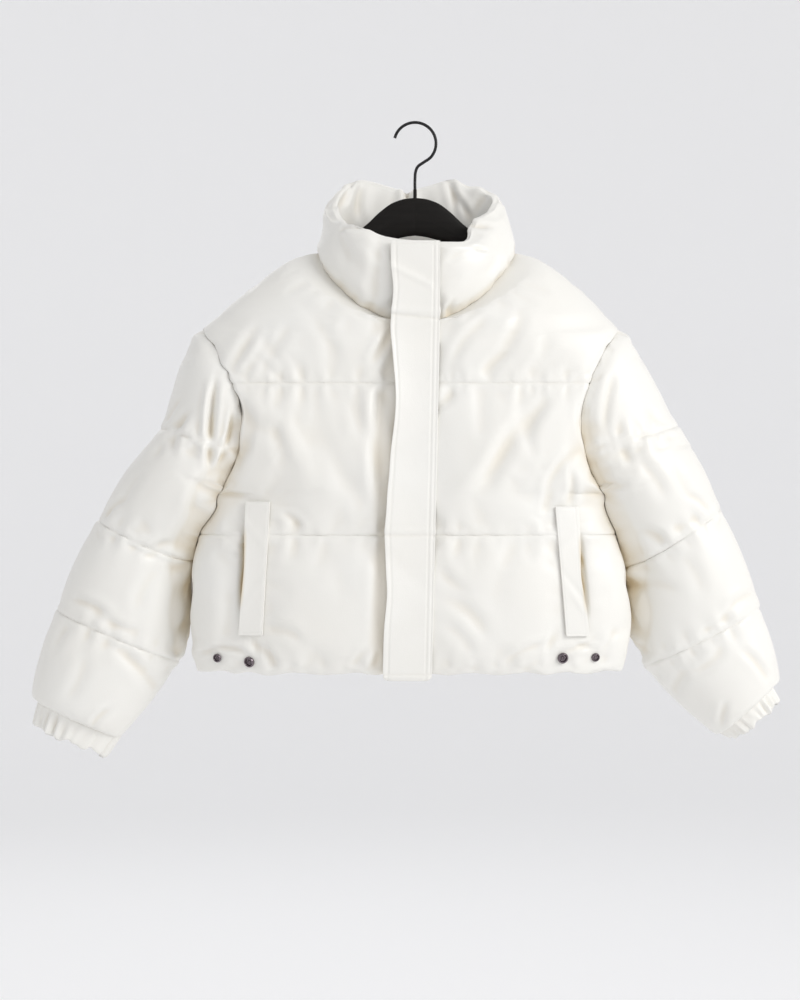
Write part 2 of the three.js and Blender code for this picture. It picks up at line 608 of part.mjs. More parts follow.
function sleeveGrids(side) {
  const inner = [];
  const outer = [];
  const rows = sleeveStations(side).map((station) => ({ station, ...sleeveRow(side, station) }));
  for (const row of rows) {
    const line = [];
    for (let i = 0; i <= 60; i += 1) line.push(sleevePoint(row, i / 60));
    row.places = spread(line, SLEEVE_COLUMNS, row.open ? 0.4 : 0.15);
    if (row.station === 0) row.places.forEach((place) => place.point.copy(row.out));
    inner.push(row.places.map((place) => place.point));
  }
  const middleZ = mix(ARMHOLE.topZ, ARMHOLE.bottomZ, 0.5);
  const armholeMiddle = vector(signOf(side) * ARMHOLE[side].bottomX, 0, middleZ);
  rows.forEach((row, r) => {
    outer.push(row.places.map((place, c) => {
      const share = c / SLEEVE_COLUMNS;
      const out = gridNormal(inner, r, c, !row.open);
      const middle = row.open ? armholeMiddle : row.out.clone().lerp(row.into, 0.5);
      if (out.dot(place.point.clone().sub(middle)) < 0) out.negate();
      const inside = Math.abs(2 * share - 1);
      const squeeze = 1 - 0.55 * THREE.MathUtils.smoothstep(inside, 0.55, 1);
      const edge = puff(Math.min(place.fromStart, place.fromEnd), row.station < 1.5 ? 30 : 55);
      const corner = armholeCorner(place.point, side);
      const full = mix(QUILT_SHARE, 1, sleevePuff(row.station)) * edge * squeeze * corner;
      const atEnd = c === 0 || c === SLEEVE_COLUMNS;
      if (row.open && atEnd) out.copy(armholeOut(side, row.into.z, c === 0 ? -1 : 1));
      if (row.station === 0) out.copy(armholeOut(side, ARMHOLE.topZ, -1));
      if (row.station === 3 && atEnd) out.set(0, 0, -1);
      if (r === rows.length - 1) out.addScaledVector(row.down, -out.dot(row.down)).normalize();
      const loft = row.station === 0 ? 0 : full * (SLEEVE_LOFT - SEAM_WALL);
      const skin = place.point.clone().addScaledVector(out, SEAM_WALL + loft);
      const limit = partingX(side, skin.z);
      if (Math.abs(skin.x) < limit) skin.x = signOf(side) * limit;
      return skin;
    }));
  });
  const ringFrom = rows.findIndex((row) => row.station === 3);
  for (const grid of [inner, outer]) {
    for (let r = ringFrom; r < grid.length; r += 1) grid[r][SLEEVE_COLUMNS] = grid[r][0];
    for (const row of grid) for (const p of new Set(row)) p.x += (signOf(side) * PARTING.gap) / 2;
  }
  return { inner, outer, ringFrom };
}

// Gathered band below the sleeve, its waves drawn in by elastic
function cuffTriangles(side) {
  const row = sleeveRow(side, SLEEVES[side].length - 1);
  const middle = row.out.clone().lerp(row.into, 0.5);
  const count = CUFF.waves * CUFF.steps;
  const levels = [
    { drop: 2 * SEAM_GAP, wave: 0.25, wall: 0 },
    { drop: 2 * SEAM_GAP, wave: 0.25, wall: CUFF.wall },
    { drop: CUFF.depth * 0.5, wave: 1, wall: CUFF.wall },
    { drop: CUFF.depth, wave: 0.9, wall: CUFF.wall },
    { drop: CUFF.depth, wave: 0.9, wall: 0 },
  ];
  const rings = levels.map((level) => {
    const ring = [];
    for (let i = 0; i < count; i += 1) {
      const angle = (2 * Math.PI * i) / count;
      const uneven = 0.75 + 0.25 * Math.sin(3 * angle + 1) + 0.2 * Math.sin(7 * angle);
      const swing = Math.sin((2 * Math.PI * i) / CUFF.steps + Math.PI / 4);
      const wave = swing * CUFF.waveHeight * level.wave * uneven;
      const draw = mix(1, CUFF.squeeze, level.drop / CUFF.depth);
      const point = sleevePoint({ ...row, last: Math.PI }, i / count);
      const out = point.clone().sub(middle).normalize();
      point.lerp(middle, 1 - draw).addScaledVector(out, wave + level.wall + 1.5);
      ring.push(point.addScaledVector(row.down, level.drop));
    }
    return ring;
  });
  const triangles = [];
  rings.forEach((ring, r) => {
    const next = rings[(r + 1) % rings.length];
    for (let i = 0; i < count; i += 1) {
      const j = (i + 1) % count;
      triangles.push(...quad(ring[i], ring[j], next[j], next[i]));
    }
  });
  return triangles;
}

// Flat face over a section across the piece, turning the same way as its points
function endFace(section) {
  const outline = section.map((p) => new THREE.Vector2(p.y, p.z));
  const turn = Math.sign(THREE.ShapeUtils.area(outline));
  return THREE.ShapeUtils.triangulateShape(outline.slice(), []).map((face) => {
    const same = Math.sign(THREE.ShapeUtils.area(face.map((i) => outline[i]))) === turn;
    const corners = face.map((i) => section[i]);
    return same ? corners : corners.reverse();
  });
}

// Stand collar: at each place round the neck a padded section from the neck seam up to the top edge
function collarTriangles() {
  const sections = [];
  for (let s = 0; s <= COLLAR_STATIONS; s += 1) {
    const row = ((COLLAR.length - 1) * s) / COLLAR_STATIONS;
    const turn = atRow(COLLAR, row, 'turn');
    const front = turn < 0 || turn > 180;
    const sign = turn < 90 ? -1 : 1;
    const quarter = radians(turn < 90 ? Math.abs(turn) : Math.abs(180 - turn));
    const base = neckPoint(sign, quarter, front ? -1 : 1);
    base.z += SEAM_GAP * (front ? 2.2 : 1.5);
    const out = neckOut(sign, quarter, front ? -1 : 1);
    const top = vector(atRow(COLLAR, row, 'x'), atRow(COLLAR, row, 'y'), atRow(COLLAR, row, 'z'));
    const flat = out.clone().setZ(0).normalize();
    const toFrontEnd = Math.min(turn + 88, 268 - turn) * 1.6;
    const ends = mix((CENTRE_WALL - SEAM_WALL) / (COLLAR_LOFT - SEAM_WALL), 1, puff(toFrontEnd - 22, 45));
    const section = [];
    for (const level of [0, 0.1, 0.28, 0.5, 0.72, 0.9, 1]) {
      const swell = Math.sqrt(Math.sin(Math.PI * mix(0.02, 0.86, level)));
      const wall = level === 0 ? SEAM_WALL : SEAM_WALL + (COLLAR_LOFT - SEAM_WALL) * swell * ends;
      const direction = level === 0 ? out : flat;
      const drop = level === 1 ? 0.35 * wall : 0;
      const skin = base.clone().lerp(top, level).addScaledVector(direction, wall).add(vector(0, 0, -drop));
      skin.z = Math.max(skin.z, neckLevel(skin) + PARTING.gap / 2);
      section.push(skin);
    }
    section.push(top.clone().addScaledVector(flat, 0.45 * COLLAR_LOFT * ends).add(vector(0, 0, 3)));
    section.push(top.clone());
    section.push(base.clone().lerp(top, 0.55));
    section.push(base);
    sections.push(section);
  }
  const triangles = [];
  const count = sections[0].length;
  for (let s = 0; s < COLLAR_STATIONS; s += 1) {
    for (let i = 0; i < count; i += 1) {
      const j = (i + 1) % count;
      triangles.push(...quad(sections[s][i], sections[s][j], sections[s + 1][j], sections[s + 1][i]));
    }
  }
  triangles.push(...endFace(sections[0]).map((face) => face.reverse()));
  triangles.push(...endFace(sections[COLLAR_STATIONS]));
  return triangles;
}

// Depth of the placket's back face: over the centre of the collar and the fronts
function placketDepth(z) {
  const base = z > NECK_FRONT
    ? mix(NECK.front, -COLLAR[0].y, (z - NECK_FRONT) / (COLLAR[0].z - NECK_FRONT))
    : atHeight(BODY, z, 'front');
  return base + PLACKET.cover;
}

function placketTriangles() {
  const inner = [];
  const outer = [];
  const rows = 26;
  for (let r = 0; r <= rows; r += 1) {
    const share = r / rows;
    const z = mix(PLACKET.topZ, PLACKET.bottomZ, share);
    const belowNeck = clamp((NECK_FRONT - z) / (NECK_FRONT - PLACKET.bottomZ));
    const middle = mix(PLACKET.topX, PLACKET.bottomX, belowNeck);
    const back = [];
    const face = [];
    for (const across of [0, 0.35, 0.7, 1]) {
      const x = middle + PLACKET.width * (across - 0.5);
      const lift = PLACKET.lift * (1 - across) ** 2 * Math.sin(Math.PI * share) ** 0.5;
      const y = -placketDepth(z) - lift;
      back.push(vector(x, y, z));
      face.push(vector(x, y - PLACKET.wall, z));
    }
    inner.push(back);
    outer.push(face);
  }
  return wallTriangles(outer, inner);
}

// Place on the faces of a panel's outer grid at x and z
function skinAt(grid, x, z) {
  const barycentre = new THREE.Vector3();
  for (let r = 0; r < grid.length - 1; r += 1) {
    for (let c = 0; c < grid[0].length - 1; c += 1) {
      for (const corners of quad(grid[r][c], grid[r][c + 1], grid[r + 1][c + 1], grid[r + 1][c])) {
        const [a, b, d] = corners.map((p) => vector(p.x, p.z, 0));
        if (THREE.Triangle.getBarycoord(vector(x, z, 0), a, b, d, barycentre) === null) continue;
        if (Math.min(barycentre.x, barycentre.y, barycentre.z) < -1e-6) continue;
        const y = corners[0].y * barycentre.x + corners[1].y * barycentre.y + corners[2].y * barycentre.z;
        const [along, aside] = [1, 2].map((i) => corners[i].clone().sub(corners[0]));
        const out = along.cross(aside).normalize();
        if (out.y > 0) out.negate();
        return { point: vector(x, y, z), out };
      }
    }
  }
  throw new Error(`no cloth at ${x}, ${z}`);
}

function weltTriangles(welt, panel) {
  const inner = [];
  const outer = [];
  for (let r = 0; r <= 9; r += 1) {
    const z = mix(welt.topZ, welt.bottomZ, r / 9);
    const middle = mix(welt.topX, welt.bottomX, r / 9);
    const places = [-0.5, 0, 0.5].map((across) => skinAt(panel.outer, middle + across * welt.width, z));
    inner.push(places.map(({ point, out }) => point.clone().addScaledVector(out, WELT.clear)));
    outer.push(places.map(({ point, out }) => point.clone().addScaledVector(out, WELT.clear + WELT.wall)));
  }
  return wallTriangles(outer, inner);
}

// Ring snap: a domed cap with a raised rim and a dished middle
function snapMesh(snap, panel) {
  const { radius, height } = SNAP;
  const profile = [
    [0, 0],
    [radius * 0.86, 0],
    [radius, height * 0.35],
    [radius * 0.94, height * 0.8],
    [radius * 0.75, height],
    [radius * 0.52, height * 0.85],
    [radius * 0.42, height * 0.5],
    [0, height * 0.5],
  ].map(([x, y]) => new THREE.Vector2(x, y));
  const lathe = new THREE.LatheGeometry(profile, 16);
  const { point, out } = skinAt(panel.outer, snap.x, snap.z);
  const tilt = new THREE.Quaternion().setFromUnitVectors(vector(0, 1, 0), out);
  const place = point.addScaledVector(out, SNAP.clear);
  place.y += panel.aside;
  const position = lathe.getAttribute('position');
  const corner = (i) => {
    const rimPoint = new THREE.Vector3().fromBufferAttribute(position, i);
    return rimPoint.applyQuaternion(tilt).add(place);
  };
  const triangles = [];
  const index = lathe.getIndex();
  for (let i = 0; i < index.count; i += 3) {
    triangles.push([corner(index.getX(i)), corner(index.getX(i + 1)), corner(index.getX(i + 2))]);
  }
  return solid(snap.name, triangles, DARK_METAL);
}

function geometryTriangles(geometry, corners = (p) => p) {
  const flat = geometry.index ? geometry.toNonIndexed() : geometry;
  const position = flat.getAttribute('position');
  const triangles = [];
  for (let i = 0; i < position.count; i += 3) {
    triangles.push([0, 1, 2].map((k) => corners(new THREE.Vector3().fromBufferAttribute(position, i + k))));
  }
  return triangles;
}

// Flat arched bar with eased edges and round ends, as sections from end to end
function hangerTriangles() {
  const { halfLength, thickness, bevel, endRound, sections } = HANGER;
  const rings = [];
  for (let i = 0; i <= sections; i += 1) {
    const turn = (Math.PI * i) / sections;
    const x = -halfLength * mix(Math.cos(turn), 1 - (2 * i) / sections, 0.75);
    const beyond = clamp((Math.abs(x) - halfLength + endRound) / endRound);
    const full = Math.max(Math.sqrt(1 - beyond ** 2), 0.3);
    const middle = (hangerTop(x) + hangerUnder(x)) / 2;
    const rise = ((hangerTop(x) - hangerUnder(x)) / 2) * full;
    const half = (thickness / 2) * full;
    const ease = Math.min(bevel * full, rise * 0.8);
    const corners = [[half, rise - ease], [half - ease * 0.3, rise - ease * 0.3], [half - ease, rise]];
    const ring = corners.map(([y, z]) => vector(x, y, middle + z));
    ring.push(...corners.map(([y, z]) => vector(x, -y, middle + z)).reverse());
    ring.push(...corners.map(([y, z]) => vector(x, -y, middle - z)));
    ring.push(...corners.map(([y, z]) => vector(x, y, middle - z)).reverse());
    rings.push(ring);
  }
  const triangles = [];
  const count = rings[0].length;
  for (let i = 0; i < sections; i += 1) {
    for (let k = 0; k < count; k += 1) {
      const next = (k + 1) % count;
      triangles.push(...quad(rings[i][k], rings[i][next], rings[i + 1][next], rings[i + 1][k]));
    }
  }
  triangles.push(...endFace(rings[0]).map((face) => face.reverse()), ...endFace(rings[sections]));
  return triangles;
}

// Wire hook: three quarters of a round, a bend back to the middle and a stem set into the bar
class HookPath extends THREE.CurvePath {
  constructor() {
    super();
    const centre = vector(0, 0, HOOK.wire - HOOK.radius);
    const round = [];
    for (let i = 0; i <= 18; i += 1) {
      const angle = radians(mix(HOOK.tipAngle, HOOK.turnAngle, i / 18));
      round.push(vector(Math.cos(angle), 0, Math.sin(angle)).multiplyScalar(HOOK.radius).add(centre));
    }
    round.push(vector(10, 0, -48.5), vector(3.4, 0, -53.5), vector(0.7, 0, -60), vector(0, 0, -68));
    this.add(new THREE.CatmullRomCurve3(round, false, 'centripetal'));
    this.add(new THREE.LineCurve3(vector(0, 0, -68), vector(0, 0, HANGER.crown - HOOK.bore + 1)));
  }
}

function roundOutline(radius, sides) {
  const outline = [];
  for (let i = 0; i < sides; i += 1) {
    const angle = (2 * Math.PI * i) / sides;
    outline.push(new THREE.Vector2(radius * Math.cos(angle), radius * Math.sin(angle)));
  }
  return new THREE.Shape(outline);
}

const wasm = await Module();
wasm.setup();

function toManifold(mesh) {
  return new wasm.Manifold(new wasm.Mesh({
    numProp: 3,
    vertProperties: new Float32Array(mesh.geometry.getAttribute('position').array),
    triVerts: new Uint32Array(mesh.geometry.getIndex().array),
  }));
}

function fromManifold(name, body, finish) {
  const { vertProperties, triVerts } = body.getMesh();
  const corner = (i) => vector(vertProperties[3 * i], vertProperties[3 * i + 1], vertProperties[3 * i + 2]);
  const triangles = [];
  for (let i = 0; i < triVerts.length; i += 3) {
    triangles.push([corner(triVerts[i]), corner(triVerts[i + 1]), corner(triVerts[i + 2])]);
  }
  return solid(name, triangles, finish);
}

const jacket = new THREE.Group();
const fronts = { right: frontPanel('right'), left: frontPanel('left') };
jacket.add(panelMesh('front_right', fronts.right));
jacket.add(panelMesh('front_left', fronts.left));
jacket.add(panelMesh('back', backPanel()));

for (const side of ['right', 'left']) {
  const sleeve = sleeveGrids(side);
  jacket.add(solid(`sleeve_${side}`, wallTriangles(sleeve.outer, sleeve.inner, sleeve.ringFrom), CREAM));
  jacket.add(solid(`cuff_${side}`, cuffTriangles(side), CREAM));
  jacket.add(solid(`pocket_welt_${side}`, weltTriangles(WELTS[side], fronts[side]), CREAM));
}

jacket.add(solid('collar', collarTriangles(), CREAM));
jacket.add(solid('placket', placketTriangles(), CREAM));
for (const snap of SNAPS) jacket.add(snapMesh(snap, fronts[snap.side]));

const boreRadius = HOOK.wire + HOOK.boreClear;
const bore = new THREE.CylinderGeometry(boreRadius, boreRadius, HOOK.bore + 10, 12);
bore.rotateX(Math.PI / 2);
bore.translate(0, 0, HANGER.crown - HOOK.bore + (HOOK.bore + 10) / 2);
const barSolid = toManifold(solid('bar', hangerTriangles(), BLACK_WOOD));
const boreSolid = toManifold(solid('bore', geometryTriangles(bore), BLACK_WOOD));
jacket.add(fromManifold('hanger_bar', barSolid.subtract(boreSolid), BLACK_WOOD));

const wireOutline = roundOutline(HOOK.wire, 8);
const hook = new THREE.ExtrudeGeometry(wireOutline, { steps: 32, extrudePath: new HookPath() });
jacket.add(solid('hanger_hook', geometryTriangles(hook), BLACK_WIRE));

export default jacket;
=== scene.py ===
import math

import bpy
import numpy as np
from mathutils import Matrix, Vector
from mathutils.bvhtree import BVHTree


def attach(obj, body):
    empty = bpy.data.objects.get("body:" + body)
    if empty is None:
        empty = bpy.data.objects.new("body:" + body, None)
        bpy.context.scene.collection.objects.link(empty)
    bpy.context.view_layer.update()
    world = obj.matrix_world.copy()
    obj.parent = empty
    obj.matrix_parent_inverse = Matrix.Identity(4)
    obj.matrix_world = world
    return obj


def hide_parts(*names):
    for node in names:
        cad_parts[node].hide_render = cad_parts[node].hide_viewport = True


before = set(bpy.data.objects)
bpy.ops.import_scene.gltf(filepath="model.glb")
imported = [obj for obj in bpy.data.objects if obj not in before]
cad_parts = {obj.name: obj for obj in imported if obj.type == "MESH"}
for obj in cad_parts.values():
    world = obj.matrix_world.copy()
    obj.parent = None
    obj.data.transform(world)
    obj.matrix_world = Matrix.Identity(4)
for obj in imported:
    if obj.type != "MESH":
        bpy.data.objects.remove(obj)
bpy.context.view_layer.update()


# ---- Fronts and back
# Two quilted fronts and a one-piece back of smooth coated cloth over light filling. Each is sewn across
# at the chest and waist, so that it puffs in three channels, and is drawn flat along its outer seams.

CHEST_SEAM = -0.328
WAIST_SEAM = -0.513
HEM = -0.683


def pick(piece):
    bpy.ops.object.select_all(action="DESELECT")
    piece.select_set(True)
    bpy.context.view_layer.objects.active = piece


def shell_of(node, name):
    """A copy of a packed wall: its loose triangles are merged and paired into four-sided faces."""
    piece = bpy.data.objects.new(name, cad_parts[node].data.copy())
    bpy.context.collection.objects.link(piece)
    piece.data.materials.clear()
    pick(piece)
    bpy.ops.object.mode_set(mode="EDIT")
    bpy.ops.mesh.select_all(action="SELECT")
    bpy.ops.mesh.remove_doubles(threshold=0.00005)
    bpy.ops.mesh.tris_convert_to_quads(face_threshold=math.radians(40), shape_threshold=math.pi)
    bpy.ops.object.mode_set(mode="OBJECT")
    if piece.data.has_custom_normals:
        bpy.ops.mesh.customdata_custom_splitnormals_clear()
    bpy.ops.object.shade_smooth()
    return piece


def points_of(piece):
    flat = np.empty(len(piece.data.vertices) * 3)
    piece.data.vertices.foreach_get("co", flat)
    return flat.reshape(-1, 3)


def place_points(piece, points):
    piece.data.vertices.foreach_set("co", points.ravel())
    piece.data.update()


def directions_of(piece):
    flat = np.empty(len(piece.data.vertices) * 3)
    piece.data.vertices.foreach_get("normal", flat)
    return flat.reshape(-1, 3)


def edges_of(piece):
    flat = np.empty(len(piece.data.edges) * 2, dtype=np.int64)
    piece.data.edges.foreach_get("vertices", flat)
    return flat.reshape(-1, 2)


def even_out(piece, values, rounds):
    """Values at the points, each replaced by the mean of its neighbours, several times over."""
    one, two = edges_of(piece).T
    size = len(piece.data.vertices)
    near = np.bincount(one, minlength=size) + np.bincount(two, minlength=size)
    columns = values.reshape(size, -1).T.copy()
    for _ in range(rounds):
        for k, column in enumerate(columns):
            total = np.bincount(one, weights=column[two], minlength=size)
            total += np.bincount(two, weights=column[one], minlength=size)
            columns[k] = total / near
    return columns.T.reshape(values.shape)


def sharpen(piece, seam_distance, tight=0.004):
    """Creases the rims of a wall and its sewn lines, so that smoothing keeps them. The hem stays round."""
    edges = edges_of(piece)
    height = points_of(piece)[:, 2]
    face_normals = {}
    for face in piece.data.polygons:
        for key in face.edge_keys:
            face_normals.setdefault(key, []).append(face.normal)
    distance = seam_distance(points_of(piece))
    crease = np.zeros(len(edges), dtype=np.float32)
    for i, (one, two) in enumerate(edges):
        meeting = face_normals.get((min(one, two), max(one, two)), [])
        if len(meeting) == 2 and meeting[0].dot(meeting[1]) < math.cos(math.radians(50)):
            crease[i] = 0.35 if max(height[one], height[two]) < HEM + 0.001 else 1.0
        elif distance[one] < tight and distance[two] < tight:
            crease[i] = 1.0
    piece.data.attributes.new("crease_edge", "FLOAT", "EDGE").data.foreach_set("value", crease)


def refine(piece, levels):
    pick(piece)
    bpy.ops.object.modifier_add(type="SUBSURF")
    smooth = piece.modifiers[-1]
    smooth.levels = smooth.render_levels = levels
    bpy.ops.object.modifier_apply(modifier=smooth.name)


def settle(jobs, frames=16):
    """Fills the pieces by cloth simulation. Each job is a piece, its held points and how far its cloth grows."""
    starts = [points_of(piece) for piece, _, _ in jobs]
    for piece, held, growth in jobs:
        piece.vertex_groups.new(name="held").add([int(i) for i in np.flatnonzero(held)], 1.0, "REPLACE")
        pick(piece)
        bpy.ops.object.modifier_add(type="CLOTH")
        cloth = piece.modifiers[-1]
        cloth.settings.vertex_group_mass = "held"
        cloth.settings.quality = 4
        cloth.settings.mass = 0.25
        cloth.settings.bending_stiffness = 2.5
        cloth.settings.air_damping = 2.0
        cloth.settings.use_pressure = True
        cloth.settings.uniform_pressure_force = 3.0
        cloth.settings.shrink_min = -growth
        cloth.settings.effector_weights.gravity = 0.0
        cloth.collision_settings.use_collision = False
        cloth.point_cache.frame_end = frames
    for step in range(1, frames + 1):
        bpy.context.scene.frame_set(step)
    for piece, _, _ in jobs:
        pick(piece)
        bpy.ops.object.modifier_apply(modifier=piece.modifiers[-1].name)
    bpy.context.scene.frame_set(1)
    for (piece, held, _), start in zip(jobs, starts):
        moved = points_of(piece) - start
        swell = even_out(piece, moved, 12)
        share = np.where(held, 0.0, 1.0)[:, None]
        change = swell * 0.3 + (moved - swell) * 0.65
        length = np.linalg.norm(change, axis=1, keepdims=True)
        change *= np.minimum(1.0, 0.008 / np.maximum(length, 1e-9))
        place_points(piece, start + change * share)


def fold_height(x, z, folds):
    """Height of listed folds. Each has a place, lean, length, width, height and bow in millimetres."""
    height = np.zeros(len(x))
    for at_x, at_z, lean, length, width, rise, bow in folds:
        turn = math.radians(lean)
        along = ((x * 1000 - at_x) * math.cos(turn) + (z * 1000 - at_z) * math.sin(turn)) / (length / 2)
        across = (z * 1000 - at_z) * math.cos(turn) - (x * 1000 - at_x) * math.sin(turn)
        across = (across - bow * (1 - along**2)) / width
        trough = np.exp(-(across**2)) - 0.55 * np.exp(-(((across - 1.5) / 1.1) ** 2))
        trough -= 0.3 * np.exp(-(((across + 1.6) / 1.2) ** 2))
        height += rise / 1000 * trough * np.exp(-(along**4))
    return height


def pucker_height(along, distance, places, reach=0.022):
    """Short gathers that run out from a sewn line. Each has a place along it, a width and a height in millimetres."""
    height = np.zeros(len(along))
    for at, width, rise in places:
        spread = width * (0.55 + 0.8 * distance / reach)
        height += rise / 1000 * np.exp(-(((along * 1000 - at) / spread) ** 2))
    fade = np.exp(-((distance / reach) ** 2)) * (1 - np.exp(-((distance / 0.004) ** 2)))
    return height * fade


def body_seams(points):
    return np.minimum(abs(points[:, 2] - CHEST_SEAM), abs(points[:, 2] - WAIST_SEAM))


def body_outside(piece):
    """How far each point belongs to the outside of the cloth, from 0 to 1."""
    points, out = points_of(piece), directions_of(piece)
    return np.clip(((points[:, :2] * out[:, :2]).sum(1) - 0.008) / 0.024, 0, 1)


WELTS = {
    "right": {"top": (-0.1915, -0.472), "bottom": (-0.2005, -0.635), "width": 0.030, "mouth": -1, "gape": 0.50},
    "left": {"top": (0.184, -0.478), "bottom": (0.1975, -0.636), "width": 0.028, "mouth": 1, "gape": 0.53},
}


def welt_place(points, welt):
    """Place across a welt, from -1 to 1 over its width, and down it, from 0 to 1."""
    (x1, z1), (x2, z2) = welt["top"], welt["bottom"]
    down = (z1 - points[:, 2]) / (z1 - z2)
    return (points[:, 0] - x1 - (x2 - x1) * down) / (welt["width"] / 2), down


SNAP_PLACES = {
    "right_side": (-0.243, -0.664), "right_front": (-0.203, -0.668),
    "left_front": (0.180, -0.663), "left_side": (0.221, -0.663),
}


def pressed_flat(points):
    """How far the fronts are pressed flat by the pocket welts and the snaps, from 0 to 1."""
    pressed = np.zeros(len(points))
    for x, z in SNAP_PLACES.values():
        reach = np.hypot(points[:, 0] - x, points[:, 2] - z)
        pressed = np.maximum(pressed, np.clip((0.0135 - reach) / 0.005, 0, 1) * (points[:, 1] < 0))
    for welt in WELTS.values():
        across, down = welt_place(points, welt)
        beyond = np.maximum.reduce([(abs(across) - 1) * welt["width"] / 2, -down * 0.16, (down - 1) * 0.16])
        pressed = np.maximum(pressed, np.clip(1 - beyond / 0.009, 0, 1) * (points[:, 1] < 0))
    return pressed


def pocket_mouths(points):
    """Depth of the pocket mouths, beside the free edges of the welts."""
    depth = np.zeros(len(points))
    for welt in WELTS.values():
        across, down = welt_place(points, welt)
        beside = (across * welt["mouth"] - 1) * welt["width"] / 2
        longest = np.exp(-(((down - welt["gape"]) / 0.29) ** 4))
        inside = 0.0100 * np.exp(-(((beside + 0.0002) / 0.0026) ** 2)) + 0.0022 * np.exp(-((beside / 0.009) ** 2))
        depth += inside * longest * (points[:, 1] < 0)
    return depth


ARMHOLES = {"right": (-0.258, -0.243), "left": (0.246, 0.233)}
ARMHOLE_TOP = -0.270
ARMHOLE_BOTTOM = -0.462


def fill_armhole(piece, side, share_of_fill=1.0):
    """Draws the cloth on both sides of the upper armhole seam level with the padding, as a flat seam lies.

    Returns the points that lie along the seam."""
    turn = np.linspace(0, 2 * math.pi, 121)
    share = (1 - np.cos(turn)) / 2
    top_x, bottom_x = ARMHOLES[side]
    sign = 1 if side == "left" else -1
    loop = np.stack([
        top_x + (bottom_x - top_x) * share - sign * 0.036 * np.sin(turn) ** 2,
        0.052 * np.sin(turn),
        ARMHOLE_TOP + (ARMHOLE_BOTTOM - ARMHOLE_TOP) * share,
    ], axis=1)
    points, out = points_of(piece), directions_of(piece)
    near = abs(points[:, 0]) > 0.12
    gaps = np.full((len(points), 3), 9.0)
    best = np.full(len(points), 9.0)
    for stop in loop:
        gap = points[near] - stop
        distance = np.linalg.norm(gap, axis=1)
        closer = distance < best[near]
        rows = np.flatnonzero(near)[closer]
        best[rows], gaps[rows] = distance[closer], gap[closer]
    away = np.stack([0 * best, points[:, 1] / 0.052**2, (points[:, 2] + 0.366) / 0.096**2], axis=1)
    away[:, 0] = sign * 4.0
    away /= np.linalg.norm(away, axis=1, keepdims=True)
    above = np.clip((gaps * away).sum(1) / 0.006, 0, 1)
    beyond = np.maximum(best - 0.006, 0)
    level = np.clip((points[:, 2] + 0.392) / 0.045, 0, 1)
    fill = 0.0085 * np.exp(-((beyond / 0.021) ** 2)) * above * (0.25 + 0.75 * level) * (best < 0.1)
    fill *= share_of_fill
    place_points(piece, points + away * fill[:, None])
    return (best < 0.022) & (above > 0.2)


def paint_fold_shade(piece, neighbours=(), gain=1.0):
    """Paints shade into the cloth's colour: keeps how deep each point lies in a fold, against another piece or in a
    pocket mouth, as a painted shade attribute that darkens and warms the colour.
    """
    points, out = points_of(piece), directions_of(piece)
    near = ((even_out(piece, points, 2) - points) * out).sum(1)
    far = ((even_out(piece, points, 8) - points) * out).sum(1)
    painted_shade = even_out(piece, near * 220 + far * 170, 2) * gain
    # painted shade between parts: cloth close to a neighbouring piece is darkened in colour, more so lower down
    for tree, reach, top in neighbours:
        gap = np.array([tree.find_nearest(Vector(point), 0.05)[3] or 0.05 for point in points])
        painted_shade += np.clip(1 - gap / reach, 0, 1) ** 1.4 * np.clip((top - points[:, 2]) / 0.06, 0.12, 1)
    # painted shadow: the pocket mouths are darkened in colour as well as cut into the cloth
    painted_shade += 1.2 * np.clip(pocket_mouths(points) / 0.0085 - 0.25, 0, 1) * (abs(points[:, 0]) < 0.25)
    painted_shade = np.clip(painted_shade, 0, 2).astype(np.float32)
    # the painted shade is kept as a point attribute that the cloth's colour reads
    piece.data.attributes.new("painted_shade", "FLOAT", "POINT").data.foreach_set("value", painted_shade)


FRONT_RIGHT_FOLDS = [
    (-215, -302, 62, 95, 8, -4.0, 4), (-196, -292, 58, 70, 7, -3.0, -3), (-171, -287, 60, 60, 8, -2.4, 3),
    (-200, -366, -52, 66, 11, -3.6, -6), (-170, -398, -68, 60, 9, -2.2, 4),
    (-118, -262, -58, 78, 10, -1.8, 4),
    (-62, -398, -66, 130, 10, -2.4, 5), (-90, -430, -60, 110, 12, -1.8, -5),
    (-132, -410, -70, 90, 12, -1.5, 6),
    (-150, -497, -42, 30, 5, -2.6, 3), (-218, -466, -12, 34, 3.5, -1.3, 2), (-214, -535, 8, 26, 4, -2.2, 0),
    (-160, -634, -18, 46, 8, -2.4, 4), (-232, -600, 84, 90, 10, -2.2, -5), (-66, -662, 52, 24, 5, -2.4, 2),
    (-50, -664, 66, 20, 4, -2.0, -2), (-198, -648, -68, 30, 5, -3.4, 2), (-182, -661, -60, 34, 6, -3.2, 3),
    (-228, -655, -4, 40, 4, -3.4, 3), (-256, -655, 10, 26, 4, -2.6, -2), (-100, -560, -70, 70, 14, -1.2, 5),
    (-41, -385, 88, 150, 9, -6.0, 3), (-44, -560, 88, 150, 8, -2.2, 1), (-42, -286, 60, 44, 6, -4.0, 0),
]
